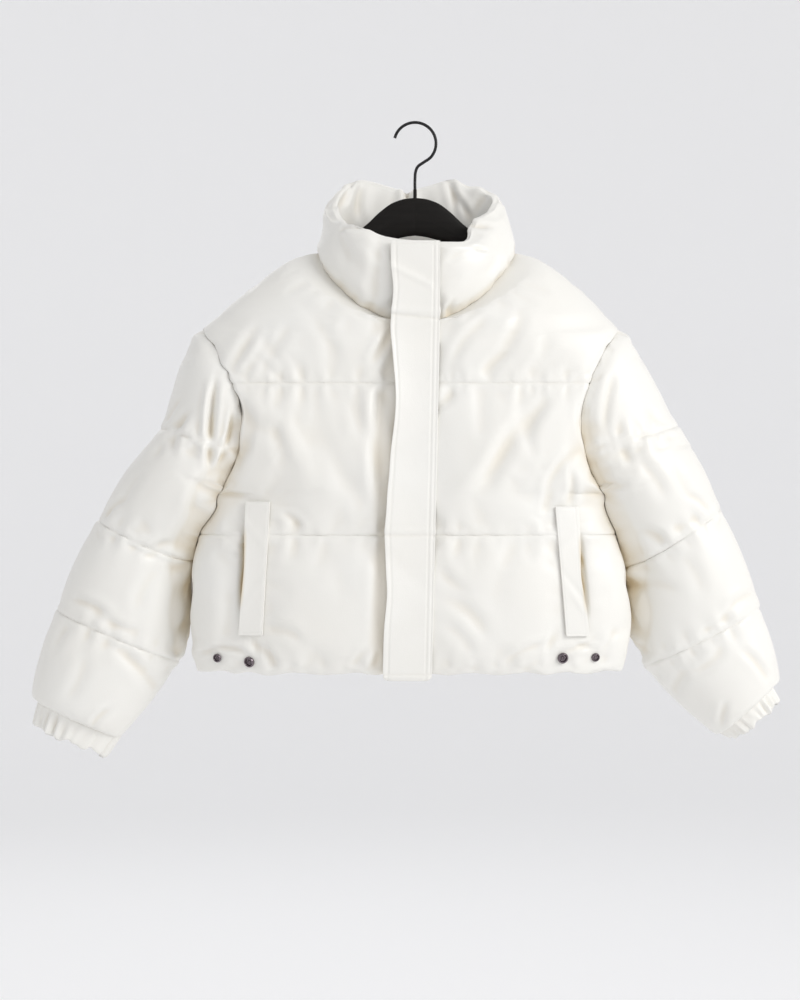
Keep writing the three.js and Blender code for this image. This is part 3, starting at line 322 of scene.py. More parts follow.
FRONT_LEFT_FOLDS = [
    (64, -276, 52, 62, 7, -2.0, 4), (112, -274, 62, 78, 9, -2.4, -4), (96, -304, 40, 40, 6, -1.6, 3),
    (120, -402, 55, 118, 10, -3.2, 6), (92, -424, 58, 100, 11, -2.4, -5), (146, -376, 66, 60, 8, -2.2, 4),
    (150, -300, 66, 60, 9, -1.6, -3), (174, -440, 58, 60, 6, -3.6, 5), (187, -462, 82, 52, 5, -3.2, -4),
    (166, -470, 66, 40, 6, -2.2, 3), (60, -610, -44, 66, 10, -2.6, 5), (48, -570, -38, 46, 8, -2.0, -3),
    (54, -640, -50, 50, 9, -2.2, 4), (136, -655, 24, 48, 5, -2.8, 3), (196, -649, 20, 44, 4, -3.4, -3),
    (212, -654, -22, 42, 4, -2.6, 3), (166, -646, 70, 24, 4, -2.4, 2), (238, -642, 60, 30, 5, -2.0, -2),
    (34, -352, 46, 34, 6, -2.0, 2), (110, -560, 70, 70, 13, -1.2, 5),
]
BACK_FOLDS = [
    (-152, -292, 60, 90, 9, -3.2, 5), (150, -300, -58, 96, 9, -3.0, -5), (-60, -240, 78, 70, 10, -1.8, 4),
    (48, -250, -72, 80, 11, -2.0, -4), (-130, -400, -60, 120, 11, -2.8, 6),
    (118, -412, 58, 130, 11, -3.0, -6),
    (-20, -420, 84, 90, 12, -1.8, 5), (188, -372, 70, 60, 8, -2.6, 4), (-196, -378, -68, 60, 8, -2.6, -4),
    (-90, -590, 50, 90, 11, -2.2, 5), (70, -604, -46, 96, 12, -2.4, -5), (176, -580, 74, 80, 10, -2.2, 4),
    (-190, -600, -76, 84, 10, -2.2, -4), (10, -650, 60, 40, 6, -2.2, 3), (-140, -656, 40, 36, 6, -2.4, -3),
    (132, -660, -38, 38, 6, -2.4, 3),
]
CHEST_PUCKERS = [(-226, 6, 2.0), (-205, 5, -1.6), (-178, 5, 2.2), (-163, 4, -1.8), (-150, 5, 2.0),
                 (-138, 4, -1.4),
                 (-112, 6, 1.2), (-70, 6, -1.2), (-42, 5, 1.4), (30, 5, 1.6), (44, 5, -1.4), (62, 6, 1.4),
                 (92, 7, -1.2),
                 (120, 6, 1.6), (142, 5, -1.6), (160, 6, 1.4), (184, 5, -1.6), (204, 6, 1.6)]
WAIST_PUCKERS = [(-236, 6, 1.4), (-214, 6, -1.4), (-160, 6, 1.8), (-146, 5, -1.6), (-118, 7, 1.2),
                 (-84, 6, -1.0),
                 (-48, 5, 1.2), (38, 6, 1.8), (52, 5, -1.6), (84, 7, 1.2), (122, 6, -1.2), (150, 6, 1.6),
                 (168, 5, -1.4),
                 (214, 6, 1.6), (232, 5, -1.2)]
HEM_PUCKERS = [(-170, 6, -1.6), (-142, 7, 1.4), (-112, 6, -1.2), (-76, 6, -1.8), (-60, 4, 1.8),
               (-48, 5, -1.6),
               (40, 6, -1.4), (66, 7, 1.2), (98, 6, -1.4), (128, 6, 1.6), (150, 5, -1.8), (196, 5, 1.6),
               (232, 5, -1.6)]
HEM_WAVES = [(-238, 12, -2.4), (-222, 8, 1.6), (-204, 9, -1.8), (-180, 12, 2.6), (-146, 12, -1.6),
             (-112, 14, 1.4),
             (-72, 11, -1.8), (-50, 8, 1.2), (40, 10, 1.6), (68, 12, -1.4), (102, 12, 1.6), (134, 11, -2.0),
             (160, 9, 1.8), (186, 11, -1.6), (212, 10, 1.6), (236, 10, -2.0)]

body_panels = {}
for node, folds in (("front_right", FRONT_RIGHT_FOLDS), ("front_left", FRONT_LEFT_FOLDS), ("back", BACK_FOLDS)):
    panel = shell_of(node, node + "_cloth")
    sharpen(panel, body_seams)
    refine(panel, 2)
    body_panels[node] = (panel, folds)

jobs = []
for panel, _ in body_panels.values():
    points = points_of(panel)
    held = (body_outside(panel) < 0.5) | (body_seams(points) < 0.0015) | (pressed_flat(points) > 0.6)
    jobs.append((panel, held, 0.024))
settle(jobs)

for node, (panel, folds) in body_panels.items():
    refine(panel, 1)
    points, out = points_of(panel), directions_of(panel)
    outside = body_outside(panel)
    distance = body_seams(points)
    mirror = 1 if node != "back" else -1
    away = np.minimum(1, distance / 0.012)
    move = fold_height(points[:, 0], points[:, 2], folds) * away * (1 - pressed_flat(points))
    for level, puckers in ((CHEST_SEAM, CHEST_PUCKERS), (WAIST_SEAM, WAIST_PUCKERS), (HEM + 0.006, HEM_PUCKERS)):
        move += pucker_height(points[:, 0] * mirror, abs(points[:, 2] - level), puckers)
    move += 0.0026 * np.exp(-((distance / 0.011) ** 2)) - 0.0007 * np.exp(-((distance / 0.0018) ** 2))
    if node != "back":
        move -= pocket_mouths(points)
    place_points(panel, points + out * (move * outside)[:, None])
    for side in ("right", "left"):
        if not node.startswith("front") or node.endswith(side):
            fill_armhole(panel, side, 0.72)


    points = points_of(panel)
    along, low = points[:, 0] * 1000 * mirror, np.clip((HEM + 0.030 - points[:, 2]) / 0.028, 0, 1) ** 2
    for at, width, drop in HEM_WAVES:
        points[:, 2] -= low * drop / 1000 * np.exp(-(((along - at) / width) ** 2))
    beside_seam = np.exp(-((points[:, 1] / 0.0016) ** 2)) * (points[:, 2] > -0.30)
    points[:, 1] *= 1 - 0.9 * beside_seam
    place_points(panel, points)


def new_material(name, colour, roughness):
    material = bpy.data.materials.new(name)
    material.use_nodes = True
    surface = material.node_tree.nodes["Principled BSDF"]
    surface.inputs["Base Color"].default_value = (*colour, 1)
    surface.inputs["Roughness"].default_value = roughness
    return material, material.node_tree.nodes, material.node_tree.links, surface


def group_of(name, inputs, outputs):
    """A shader node group with named inputs and outputs, and its inner start and end."""
    group = bpy.data.node_groups.new(name, "ShaderNodeTree")
    for label, kind, value in inputs:
        socket = group.interface.new_socket(label, in_out="INPUT", socket_type=kind)
        if value is not None:
            socket.default_value = value
    for label, kind in outputs:
        group.interface.new_socket(label, in_out="OUTPUT", socket_type=kind)
    return group, group.nodes.new("NodeGroupInput"), group.nodes.new("NodeGroupOutput")


def grain_group():
    """Fine pebbled grain of coated cloth: its height and a mask of the valleys between pebbles."""
    group, start, end = group_of(
        "pebble_grain",
        [("Pebble size", "NodeSocketFloat", 0.0011), ("Depth", "NodeSocketFloat", 1.0)],
        [("Height", "NodeSocketFloat"), ("Valley", "NodeSocketFloat")],
    )
    nodes, links = group.nodes, group.links
    place = nodes.new("ShaderNodeTexCoord")
    scale = nodes.new("ShaderNodeMath")
    scale.operation = "DIVIDE"
    scale.inputs[0].default_value = 1.0
    links.new(start.outputs["Pebble size"], scale.inputs[1])
    warp = nodes.new("ShaderNodeTexNoise")
    warp.inputs["Scale"].default_value = 140
    warp.inputs["Detail"].default_value = 1
    links.new(place.outputs["Object"], warp.inputs["Vector"])
    shift = nodes.new("ShaderNodeVectorMath")
    shift.operation = "MULTIPLY_ADD"
    shift.inputs[1].default_value = (0.002, 0.002, 0.002)
    links.new(warp.outputs["Color"], shift.inputs[0])
    links.new(place.outputs["Object"], shift.inputs[2])
    pebbles = nodes.new("ShaderNodeTexVoronoi")
    pebbles.feature = "SMOOTH_F1"
    pebbles.inputs["Smoothness"].default_value = 0.6
    links.new(shift.outputs["Vector"], pebbles.inputs["Vector"])
    links.new(scale.outputs["Value"], pebbles.inputs["Scale"])
    fine = nodes.new("ShaderNodeTexNoise")
    fine.inputs["Scale"].default_value = 2400
    fine.inputs["Detail"].default_value = 2
    links.new(place.outputs["Object"], fine.inputs["Vector"])
    mixed = nodes.new("ShaderNodeMath")
    mixed.operation = "MULTIPLY_ADD"
    mixed.inputs[1].default_value = 0.25
    links.new(fine.outputs["Fac"], mixed.inputs[0])
    flip = nodes.new("ShaderNodeMath")
    flip.operation = "SUBTRACT"
    flip.inputs[0].default_value = 1.0
    links.new(pebbles.outputs["Distance"], flip.inputs[1])
    links.new(flip.outputs["Value"], mixed.inputs[2])
    height = nodes.new("ShaderNodeMath")
    height.operation = "MULTIPLY"
    links.new(mixed.outputs["Value"], height.inputs[0])
    links.new(start.outputs["Depth"], height.inputs[1])
    links.new(height.outputs["Value"], end.inputs["Height"])
    valley = nodes.new("ShaderNodeMapRange")
    valley.inputs["From Min"].default_value = 0.35
    valley.inputs["From Max"].default_value = 0.8
    links.new(pebbles.outputs["Distance"], valley.inputs["Value"])
    links.new(valley.outputs["Result"], end.inputs["Valley"])
    return group


def tone_group():
    """Slow change of tone over a surface, with painted shade: a warmer and deeper colour mixed in where the painted
    shade attribute marks folds, seams, pocket mouths and gaps between pieces.
    """
    group, start, end = group_of(
        "cloth_tone",
        [("Light", "NodeSocketColor", (0.8, 0.8, 0.8, 1)),
         ("Patch and shade colour", "NodeSocketColor", (0.7, 0.65, 0.55, 1)),
         ("Patch size", "NodeSocketFloat", 0.12), ("Shade strength", "NodeSocketFloat", 0.6)],
        [("Color", "NodeSocketColor"), ("Patch", "NodeSocketFloat")],
    )
    nodes, links = group.nodes, group.links
    place = nodes.new("ShaderNodeTexCoord")
    scale = nodes.new("ShaderNodeMath")
    scale.operation = "DIVIDE"
    scale.inputs[0].default_value = 1.0
    links.new(start.outputs["Patch size"], scale.inputs[1])
    patch = nodes.new("ShaderNodeTexNoise")
    patch.inputs["Detail"].default_value = 3
    links.new(place.outputs["Object"], patch.inputs["Vector"])
    links.new(scale.outputs["Value"], patch.inputs["Scale"])
    # painted shade: the attribute that marks folds and gaps pulls the colour towards the shade colour
    painted_shade = nodes.new("ShaderNodeAttribute")
    painted_shade.attribute_name = "painted_shade"
    deep = nodes.new("ShaderNodeMath")
    deep.operation = "MULTIPLY"
    links.new(painted_shade.outputs["Fac"], deep.inputs[0])
    links.new(start.outputs["Shade strength"], deep.inputs[1])
    share = nodes.new("ShaderNodeMath")
    share.operation = "MULTIPLY_ADD"
    share.inputs[1].default_value = 0.16
    share.use_clamp = True
    links.new(patch.outputs["Fac"], share.inputs[0])
    links.new(deep.outputs["Value"], share.inputs[2])
    colour = nodes.new("ShaderNodeMix")
    colour.data_type = "RGBA"
    links.new(share.outputs["Value"], colour.inputs["Factor"])
    links.new(start.outputs["Light"], colour.inputs["A"])
    links.new(start.outputs["Patch and shade colour"], colour.inputs["B"])
    # painted deeper shade: past a full share the colour is darkened again by multiplying it with the shade colour
    past = nodes.new("ShaderNodeMath")
    past.operation = "SUBTRACT"
    past.use_clamp = True
    past.inputs[1].default_value = 1.0
    links.new(painted_shade.outputs["Fac"], past.inputs[0])
    darker = nodes.new("ShaderNodeMix")
    darker.data_type = "RGBA"
    darker.blend_type = "MULTIPLY"
    links.new(past.outputs["Value"], darker.inputs["Factor"])
    links.new(colour.outputs["Result"], darker.inputs["A"])
    links.new(start.outputs["Patch and shade colour"], darker.inputs["B"])
    links.new(darker.outputs["Result"], end.inputs["Color"])
    links.new(patch.outputs["Fac"], end.inputs["Patch"])
    return group


pebble_grain = grain_group()
cloth_tone = tone_group()


def coated_cloth(name, light, tone_and_shade, pebble, bump):
    """Satin coated cloth: tone with painted fold shade and grain from the groups, with a thin coat for the sheen."""
    material, nodes, links, surface = new_material(name, light, 0.44)
    tone = nodes.new("ShaderNodeGroup")
    tone.node_tree = cloth_tone
    tone.inputs["Light"].default_value = (*light, 1)
    tone.inputs["Patch and shade colour"].default_value = (*tone_and_shade, 1)
    links.new(tone.outputs["Color"], surface.inputs["Base Color"])
    grain = nodes.new("ShaderNodeGroup")
    grain.node_tree = pebble_grain
    grain.inputs["Pebble size"].default_value = pebble
    relief = nodes.new("ShaderNodeBump")
    relief.inputs["Strength"].default_value = bump
    relief.inputs["Distance"].default_value = 0.0002
    links.new(grain.outputs["Height"], relief.inputs["Height"])
    links.new(relief.outputs["Normal"], surface.inputs["Normal"])
    rough = nodes.new("ShaderNodeMapRange")
    rough.inputs["To Min"].default_value = 0.38
    rough.inputs["To Max"].default_value = 0.5
    links.new(tone.outputs["Patch"], rough.inputs["Value"])
    links.new(rough.outputs["Result"], surface.inputs["Roughness"])
    surface.inputs["Coat Weight"].default_value = 0.12
    surface.inputs["Coat Roughness"].default_value = 0.28
    surface.inputs["Sheen Weight"].default_value = 0.06
    surface.inputs["Sheen Roughness"].default_value = 0.5
    return material


CREAM = (0.850, 0.845, 0.812)
# colour of the random tone patches and of the painted shade in folds and between pieces
CREAM_TONE_AND_SHADE = (0.72, 0.62, 0.45)
shell_cloth = coated_cloth("cream_coated_cloth", CREAM, CREAM_TONE_AND_SHADE, 0.0011, 0.35)


def dress(piece, material):
    piece.data.materials.clear()
    piece.data.materials.append(material)
    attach(piece, "root")


for node, (panel, _) in body_panels.items():
    dress(panel, shell_cloth)
    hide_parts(node)


def surface_of(piece):
    return BVHTree.FromObject(piece, bpy.context.evaluated_depsgraph_get())


# ---- Sleeves
# Wide quilted sleeves of the same cloth in four channels. The head is sewn into the armhole, where the
# hanging cloth falls into deep folds, and an inseam runs down the side next to the body.

SLEEVE_SEAMS = {
    "right": [((-304, -385), (-218, -410)), ((-384, -502), (-291, -545)), ((-438, -611), (-304, -670))],
    "left": [((313, -383), (206, -410)), ((370, -488), (277, -553)), ((421, -609), (295, -675))],
}
SLEEVE_MIDDLES = {
    "right": [(-258, 0, -270), (-249, 0, -313), (-260, 0, -397), (-292, 1, -449), (-338, 19, -523),
              (-371, 24, -640),
              (-424, 26, -746)],
    "left": [(246, 0, -270), (241, 0, -313), (258, 0, -397), (286, 1, -445), (324, 19, -520),
             (358, 25, -642),
             (415, 30, -734)],
}
SLEEVE_FOLDS = {
    "right": [
        (-248, -378, 86, 96, 5, -10.0, 2), (-231, -398, 72, 62, 4.5, -8.0, -2),
        (-290, -384, 66, 50, 7, -3.4, 3),
        (-312, -398, 58, 48, 7, -3.0, -3), (-300, -362, 64, 40, 6, -2.6, 2),
        (-262, -462, 62, 60, 9, -3.6, 4),
        (-284, -500, 60, 76, 10, -2.8, -4), (-350, -456, 60, 50, 8, -2.4, 3),
        (-372, -478, 40, 30, 5, -3.0, 2),
        (-388, -492, 50, 26, 5, -2.6, -2), (-318, -532, 30, 40, 6, -3.0, 3),
        (-330, -580, 62, 60, 10, -2.2, 4),
        (-400, -604, -24, 56, 6, -3.2, 3), (-372, -622, -24, 50, 6, -2.8, -3),
        (-340, -690, -52, 60, 8, -2.8, 4),
        (-420, -690, 66, 60, 9, -2.0, -4), (-392, -742, 46, 34, 5, -3.0, 2),
        (-360, -664, -40, 50, 7, -2.2, 3),
        (-440, -640, 60, 40, 7, -2.2, 2), (-322, -713, 58, 150, 2.4, -2.4, 0),
    ],
    "left": [
        (236, -350, 80, 60, 6, -3.0, 2), (256, -402, -76, 60, 7, -3.4, -3),
        (300, -380, -60, 50, 7, -2.2, 3),
        (284, -440, -50, 66, 9, -3.0, 4), (332, -450, -62, 50, 8, -2.2, -3),
        (352, -474, -40, 34, 5, -2.6, 2),
        (300, -520, -30, 50, 7, -2.6, 3), (296, -578, -6, 52, 8, -1.6, 3),
        (340, -560, -60, 60, 10, -1.8, 4),
        (404, -596, 30, 48, 6, -2.6, 3), (372, -622, 34, 50, 6, -2.4, -3), (424, -676, -50, 52, 6, -3.2, 3),
        (330, -700, 70, 50, 8, -2.2, 4), (384, -738, 84, 34, 5, -2.4, 2), (362, -670, 40, 50, 7, -2.0, -3),
        (326, -722, -48, 150, 2.4, -2.4, 0),
    ],
}
SLEEVE_BACK_FOLDS = {
    "right": [(-262, -392, 70, 70, 8, -4.2, 3), (-300, -420, 56, 60, 8, -3.0, -3),
              (-340, -500, 60, 70, 9, -2.8, 4),
              (-350, -600, 40, 70, 9, -2.8, -4), (-400, -660, 66, 70, 9, -2.4, 4),
              (-380, -560, -20, 50, 7, -2.4, 3),
              (-400, -720, 50, 50, 7, -2.6, -3)],
    "left": [(250, -392, -70, 70, 8, -4.0, 3), (290, -420, -58, 60, 8, -3.0, -3),
             (330, -500, -60, 70, 9, -2.8, 4),
             (340, -600, -40, 70, 9, -2.8, -4), (392, -654, -64, 70, 9, -2.4, 4),
             (366, -556, 24, 50, 7, -2.4, 3),
             (390, -712, -50, 50, 7, -2.6, -3)],
}
SLEEVE_PUCKERS = [(-46, 6, 1.6), (-34, 5, -1.8), (-22, 5, 2.0), (-8, 5, -1.4), (6, 6, 1.4), (20, 5, -1.6),
                  (34, 6, 1.8),
                  (48, 5, -1.6), (60, 6, 1.4), (72, 5, -1.4)]


def line_share(points, line):
    """Places along and across a sewn line on the sleeve's front view, in metres from its middle."""
    (x1, z1), (x2, z2) = line
    way = np.array([x2 - x1, z2 - z1]) / math.hypot(x2 - x1, z2 - z1)
    aside = points[:, [0, 2]] - np.array([x1 + x2, z1 + z2]) / 2000
    return aside @ way, aside @ np.array([-way[1], way[0]])


def sleeve_seams(side):
    return lambda points: np.min([abs(line_share(points, line)[1]) for line in SLEEVE_SEAMS[side]], axis=0)


def sleeve_outside(piece, side):
    points, out = points_of(piece), directions_of(piece)
    best, near = np.full(len(points), 9.0), np.zeros((len(points), 3))
    middles = np.array(SLEEVE_MIDDLES[side]) / 1000
    for one, two in zip(middles, middles[1:]):
        way = two - one
        share = np.clip((points - one) @ way / (way @ way), 0, 1)
        foot = one + share[:, None] * way
        gap = np.linalg.norm(points - foot, axis=1)
        closer = gap < best
        best[closer], near[closer] = gap[closer], foot[closer]
    return ((points - near) * out).sum(1) > 0.006


def lean_on(piece, loose, surfaces, reach=0.024, rest=0.0008):
    """Lets cloth that hangs close beside another piece come to rest against it."""
    points = points_of(piece)
    for i in np.flatnonzero(loose):
        hits = [surface.find_nearest(Vector(points[i]), reach) for surface in surfaces]
        hits = [hit for hit in hits if hit[0] is not None]
        if hits:
            place, _, _, gap = min(hits, key=lambda hit: hit[3])
            share = min(1.0, (reach - gap) / (reach * 0.5))
            points[i] += (np.array(place) - points[i]) * max(0.0, gap - rest) / gap * share
    place_points(piece, points)


body_surfaces = [surface_of(panel) for panel, _ in body_panels.values()]
sleeves = {}
for side in ("right", "left"):
    sleeve = shell_of("sleeve_" + side, "sleeve_%s_cloth" % side)
    sharpen(sleeve, sleeve_seams(side))
    refine(sleeve, 2)
    sleeves[side] = sleeve

settle([(sleeve, ~sleeve_outside(sleeve, side) | (sleeve_seams(side)(points_of(sleeve)) < 0.0015), 0.026)
        for side, sleeve in sleeves.items()])

for side, sleeve in sleeves.items():
    refine(sleeve, 1)
    points, out = points_of(sleeve), directions_of(sleeve)
    outside = sleeve_outside(sleeve, side)
    front = np.clip(-out[:, 1] * 2 + 0.2, 0, 1)
    rear = np.clip(out[:, 1] * 2, 0, 1)
    away = np.minimum(1, sleeve_seams(side)(points) / 0.01)
    move = fold_height(points[:, 0], points[:, 2], SLEEVE_FOLDS[side]) * front * away
    move += fold_height(points[:, 0], points[:, 2], SLEEVE_BACK_FOLDS[side]) * rear * away
    for line in SLEEVE_SEAMS[side]:
        along, across = line_share(points, line)
        move += pucker_height(along, abs(across), SLEEVE_PUCKERS)
    distance = sleeve_seams(side)(points)
    move += 0.0036 * np.exp(-((distance / 0.012) ** 2)) - 0.0009 * np.exp(-((distance / 0.0018) ** 2))
    place_points(sleeve, points + out * (move * outside)[:, None])
    near_seam = fill_armhole(sleeve, side)
    lean_on(sleeve, near_seam, body_surfaces, 0.009, 0.0002)
    lean_on(sleeve, outside & (points[:, 2] < -0.45), body_surfaces)
    dress(sleeve, shell_cloth)
    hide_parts("sleeve_" + side)

sleeve_surfaces = [surface_of(sleeve) for sleeve in sleeves.values()]
# painted shade: the sleeves are darkened and warmed in colour in their folds and where they hang close to the body
for sleeve in sleeves.values():
    paint_fold_shade(sleeve, [(surface, 0.034, -0.345) for surface in body_surfaces], 1.7)


# ---- Cuffs
# A narrow band of the same cloth at each wrist, folded over elastic that gathers it into small uneven
# waves. It is sewn to the end of the sleeve.

CUFF_DEPTH = 0.027
CUFF_TUCK = {"right": 0.0, "left": 0.40}


def no_seams(points):
    return np.full(len(points), 1.0)


for side in ("right", "left"):
    cuff = shell_of("cuff_" + side, "cuff_%s_band" % side)
    sharpen(cuff, no_seams)
    refine(cuff, 2)
    points = points_of(cuff)
    start, end = np.array(SLEEVE_MIDDLES[side][-2:]) / 1000
    down = (end - start) / np.linalg.norm(end - start)
    centre = points.mean(axis=0)
    level = (points - centre) @ down
    ring = points - centre - level[:, None] * down
    level = (level - level.min()) / np.ptp(level)
    turn = np.arctan2(ring[:, 1], ring @ np.cross(down, (0, 1.0, 0)))
    gathers = 0.8 + 0.5 * np.sin(3 * turn + 1.3) + 0.4 * np.sin(5 * turn + 0.4)
    points += (points - even_out(cuff, points, 10)) * gathers[:, None]
    pleats = 0.030 * np.sin(11 * turn + 1.5 * np.sin(2 * turn)) + 0.022 * np.sin(19 * turn + 2.0)
    tuck = CUFF_TUCK[side]
    points += ring * ((pleats - 0.22 * tuck) * level)[:, None]
    edge = 0.0016 * np.sin(7 * turn + 2) + 0.0012 * np.sin(13 * turn) - 0.0012 - CUFF_DEPTH * tuck
    place_points(cuff, points + down * (edge * level)[:, None])
    # painted shade: the cuff's gathers are darkened and warmed in colour in their hollows
    paint_fold_shade(cuff)
    dress(cuff, shell_cloth)
    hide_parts("cuff_" + side)


# ---- Collar
# A padded stand collar of the same cloth, sewn round the neck hole. Its back is propped up by the hanger,
# and its sides roll over where nothing holds them.

collar = shell_of("collar", "collar_cloth")


def collar_outside(piece):
    points, out = points_of(piece), directions_of(piece)
    return ((points[:, :2] * out[:, :2]).sum(1) > 0.01) | (out[:, 2] > 0.5)


COLLAR_FOLDS = [
    (-73, -137, 2, 34, 3.5, -3.4, 1), (-86, -133, 28, 24, 4, -3.0, 0), (84, -127, -14, 38, 4, -3.4, -2),
    (81, -163, -10, 18, 3, -2.4, 0), (42, -236, 60, 22, 4, -2.4, 0), (-48, -196, 84, 96, 9, -3.4, 0),
    (-74, -184, -52, 84, 12, -2.2, 4), (72, -206, 48, 80, 12, -1.8, -4), (-92, -160, -70, 50, 8, -2.0, 3),
    (98, -170, 66, 54, 8, -2.4, -3), (62, -172, 10, 44, 6, -1.6, 3), (-30, -232, 30, 30, 6, -1.8, 0),
]
COLLAR_INNER_FOLDS = [
    (-10, -84, 90, 34, 4, -4.0, 0), (-20, -88, 80, 30, 5, 2.0, 0), (2, -88, 100, 28, 5, 1.8, 0),
    (46, -82, -78, 44, 5, -4.2, 2), (60, -98, -58, 34, 5, -3.2, 2), (-70, -92, 84, 40, 6, -3.4, 2),
    (-86, -84, 62, 44, 4, -3.8, 0), (24, -96, 70, 36, 7, 1.6, 0), (84, -92, 58, 50, 6, -2.8, 3),
]
COLLAR_BACK_FOLDS = [
    (-60, -150, 70, 80, 10, -2.4, 4), (40, -140, -64, 90, 11, -2.6, -4), (-10, -110, 88, 60, 7, -2.4, 0),
    (84, -150, 76, 70, 9, -2.2, 3), (-96, -140, -76, 70, 9, -2.2, -3),
]

sharpen(collar, no_seams)
refine(collar, 2)
settle([(collar, ~collar_outside(collar), 0.03)])
refine(collar, 1)
points, out = points_of(collar), directions_of(collar)
x, y, z = points.T
facing = np.clip(-out[:, 1] * 2.5 + 0.6, 0, 1)
rear = np.clip(out[:, 1] * 2.5, 0, 1)
move = fold_height(x, z, COLLAR_FOLDS) * facing * (y < 0) + fold_height(x, z, COLLAR_INNER_FOLDS) * facing * (y > 0)
move += fold_height(x, z, COLLAR_BACK_FOLDS) * rear * (y > 0)
points += out * move[:, None]
rim = np.clip((z + 0.125) / 0.04, 0, 1) * (y > -0.02)
lift = 0.0030 * np.exp(-(((x - 0.047) / 0.012) ** 2)) - 0.0046 * np.exp(-(((x + 0.010) / 0.006) ** 2))
lift += 0.0034 * np.exp(-(((x + 0.070) / 0.016) ** 2)) - 0.0030 * np.exp(-(((x - 0.068) / 0.008) ** 2))
corner = np.exp(-(((x - 0.102) / 0.016) ** 2))
points[:, 2] += rim * (lift - 0.0020 * corner)
points[:, 0] += rim * 0.0030 * corner
flap = np.clip((-y - 0.006) / 0.020, 0, 1) * np.clip((z + 0.168) / 0.030, 0, 1) * np.exp(-(((x - 0.086) / 0.022) ** 2))
points[:, 0] -= 0.015 * flap
tucked = np.exp(-(((z + 0.134) / 0.024) ** 2)) * np.clip((-0.085 - x) / 0.035, 0, 1)
points[:, 0] += 0.009 * tucked
place_points(collar, points)
lean_on(collar, z < -0.13, body_surfaces, 0.008, 0.0002)
# painted shade: the collar is darkened and warmed in colour in its folds and where it lies close to the body
paint_fold_shade(collar, [(surface, 0.016, 0.0) for surface in body_surfaces], 1.3)
dress(collar, shell_cloth)
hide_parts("collar")


# ---- Placket
# A flat double-layer flap of the same cloth over the front closure. It is sewn down along the wearer's
# left with two rows of stitching, stands free along the other edge, and has a folded hem.

PLACKET_TOP = -0.155
PLACKET_BOTTOM = -0.691
PLACKET_WIDTH = 0.060
PLACKET_TURN = -0.206


def placket_middle(z):
    return -0.010 * np.clip((PLACKET_TURN - z) / (PLACKET_TURN - PLACKET_BOTTOM), 0, 1)


def hump(value, middle, reach):
    return np.exp(-(((value - middle) / reach) ** 2))


def groove(distance, width=0.0010):
    return np.exp(-((distance / width) ** 2))


placket = shell_of("placket", "placket_cloth")
sharpen(placket, no_seams)
crease = placket.data.attributes["crease_edge"]
soft = np.empty(len(crease.data), dtype=np.float32)
crease.data.foreach_get("value", soft)
crease.data.foreach_set("value", soft * 0.72)
refine(placket, 4)
points, out = points_of(placket), directions_of(placket)
across = (points[:, 0] - placket_middle(points[:, 2])) / (PLACKET_WIDTH / 2)
z = points[:, 2]
face = out[:, 1] < -0.3
free = np.clip((1 - across) / 2, 0, 1) ** 2
edge = (1 - abs(across)) * PLACKET_WIDTH / 2
inward = 0.0085 * hump(z, -0.352, 0.062) - 0.0012 * hump(z, -0.262, 0.016) + 0.003 * hump(z, -0.214, 0.022)
inward += 0.0030 * hump(z, -0.585, 0.03) - 0.0016 * hump(z, -0.51, 0.02) + 0.0012 * hump(z, -0.436, 0.02)
proud = 0.0035 * hump(z, -0.33, 0.05) + 0.002 * hump(z, -0.47, 0.03) + 0.0026 * hump(z, -0.60, 0.04)
proud -= 0.0022 * hump(z, -0.2475, 0.006) + 0.0016 * hump(z, -0.513, 0.007)
ripple = 0.0008 * hump(z + 0.010 * across, -0.300, 0.018) - 0.0009 * hump(z - 0.016 * across, -0.395, 0.012)
ripple += 0.0007 * hump(z + 0.020 * across, -0.455, 0.020) - 0.0008 * hump(z + 0.024 * across, -0.560, 0.016)
ripple += 0.0009 * hump(z - 0.030 * across, -0.640, 0.020) - 0.0006 * hump(z + 0.020 * across, -0.190, 0.012)
points[:, 0] += inward * free
points[:, 1] -= proud * free + ripple
step = 0.0011 * (hump(z, -0.2400, 0.0050) - hump(z + 0.003 * across, -0.2470, 0.0022))
step += 0.0008 * (hump(z, -0.5080, 0.0040) - hump(z, -0.5135, 0.0020)) + 0.0009 * hump(z, -0.6860, 0.0030)
step += 0.0009 * hump((z + 0.20) + 0.014 * across, 0, 0.0045) * (across < 0.7)
sewn = groove(edge - 0.0022) + groove(edge - 0.0076)
stitched = np.where(across > 0, sewn, groove(edge - 0.0062))
stitched = np.maximum(stitched, groove(PLACKET_TOP - 0.0035 - z))
stitched = np.maximum(stitched, groove(z - PLACKET_BOTTOM - 0.0080))
move = (step - 0.0007 * stitched) * face
place_points(placket, points + out * move[:, None])
# painted shade: the placket is darkened in colour in its stitched grooves and hollows
paint_fold_shade(placket)
placket_surface = surface_of(placket)
# painted shade: the body panels are darkened and warmed in colour in their folds, beside the sleeves, and on the right
# front under the placket's free edge
for node, (panel, _) in body_panels.items():
    beside = [(surface, 0.034, -0.345) for surface in sleeve_surfaces]
    if node == "front_right":
        beside.append((placket_surface, 0.026, -0.20))
    paint_fold_shade(panel, beside, 1.3)
dress(placket, shell_cloth)
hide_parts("placket")


# ---- Pocket welts
# A folded strip of the same cloth over each slanted pocket mouth. It is sewn down round three sides, and
# its outer edge is free, so that the mouth gapes a little.

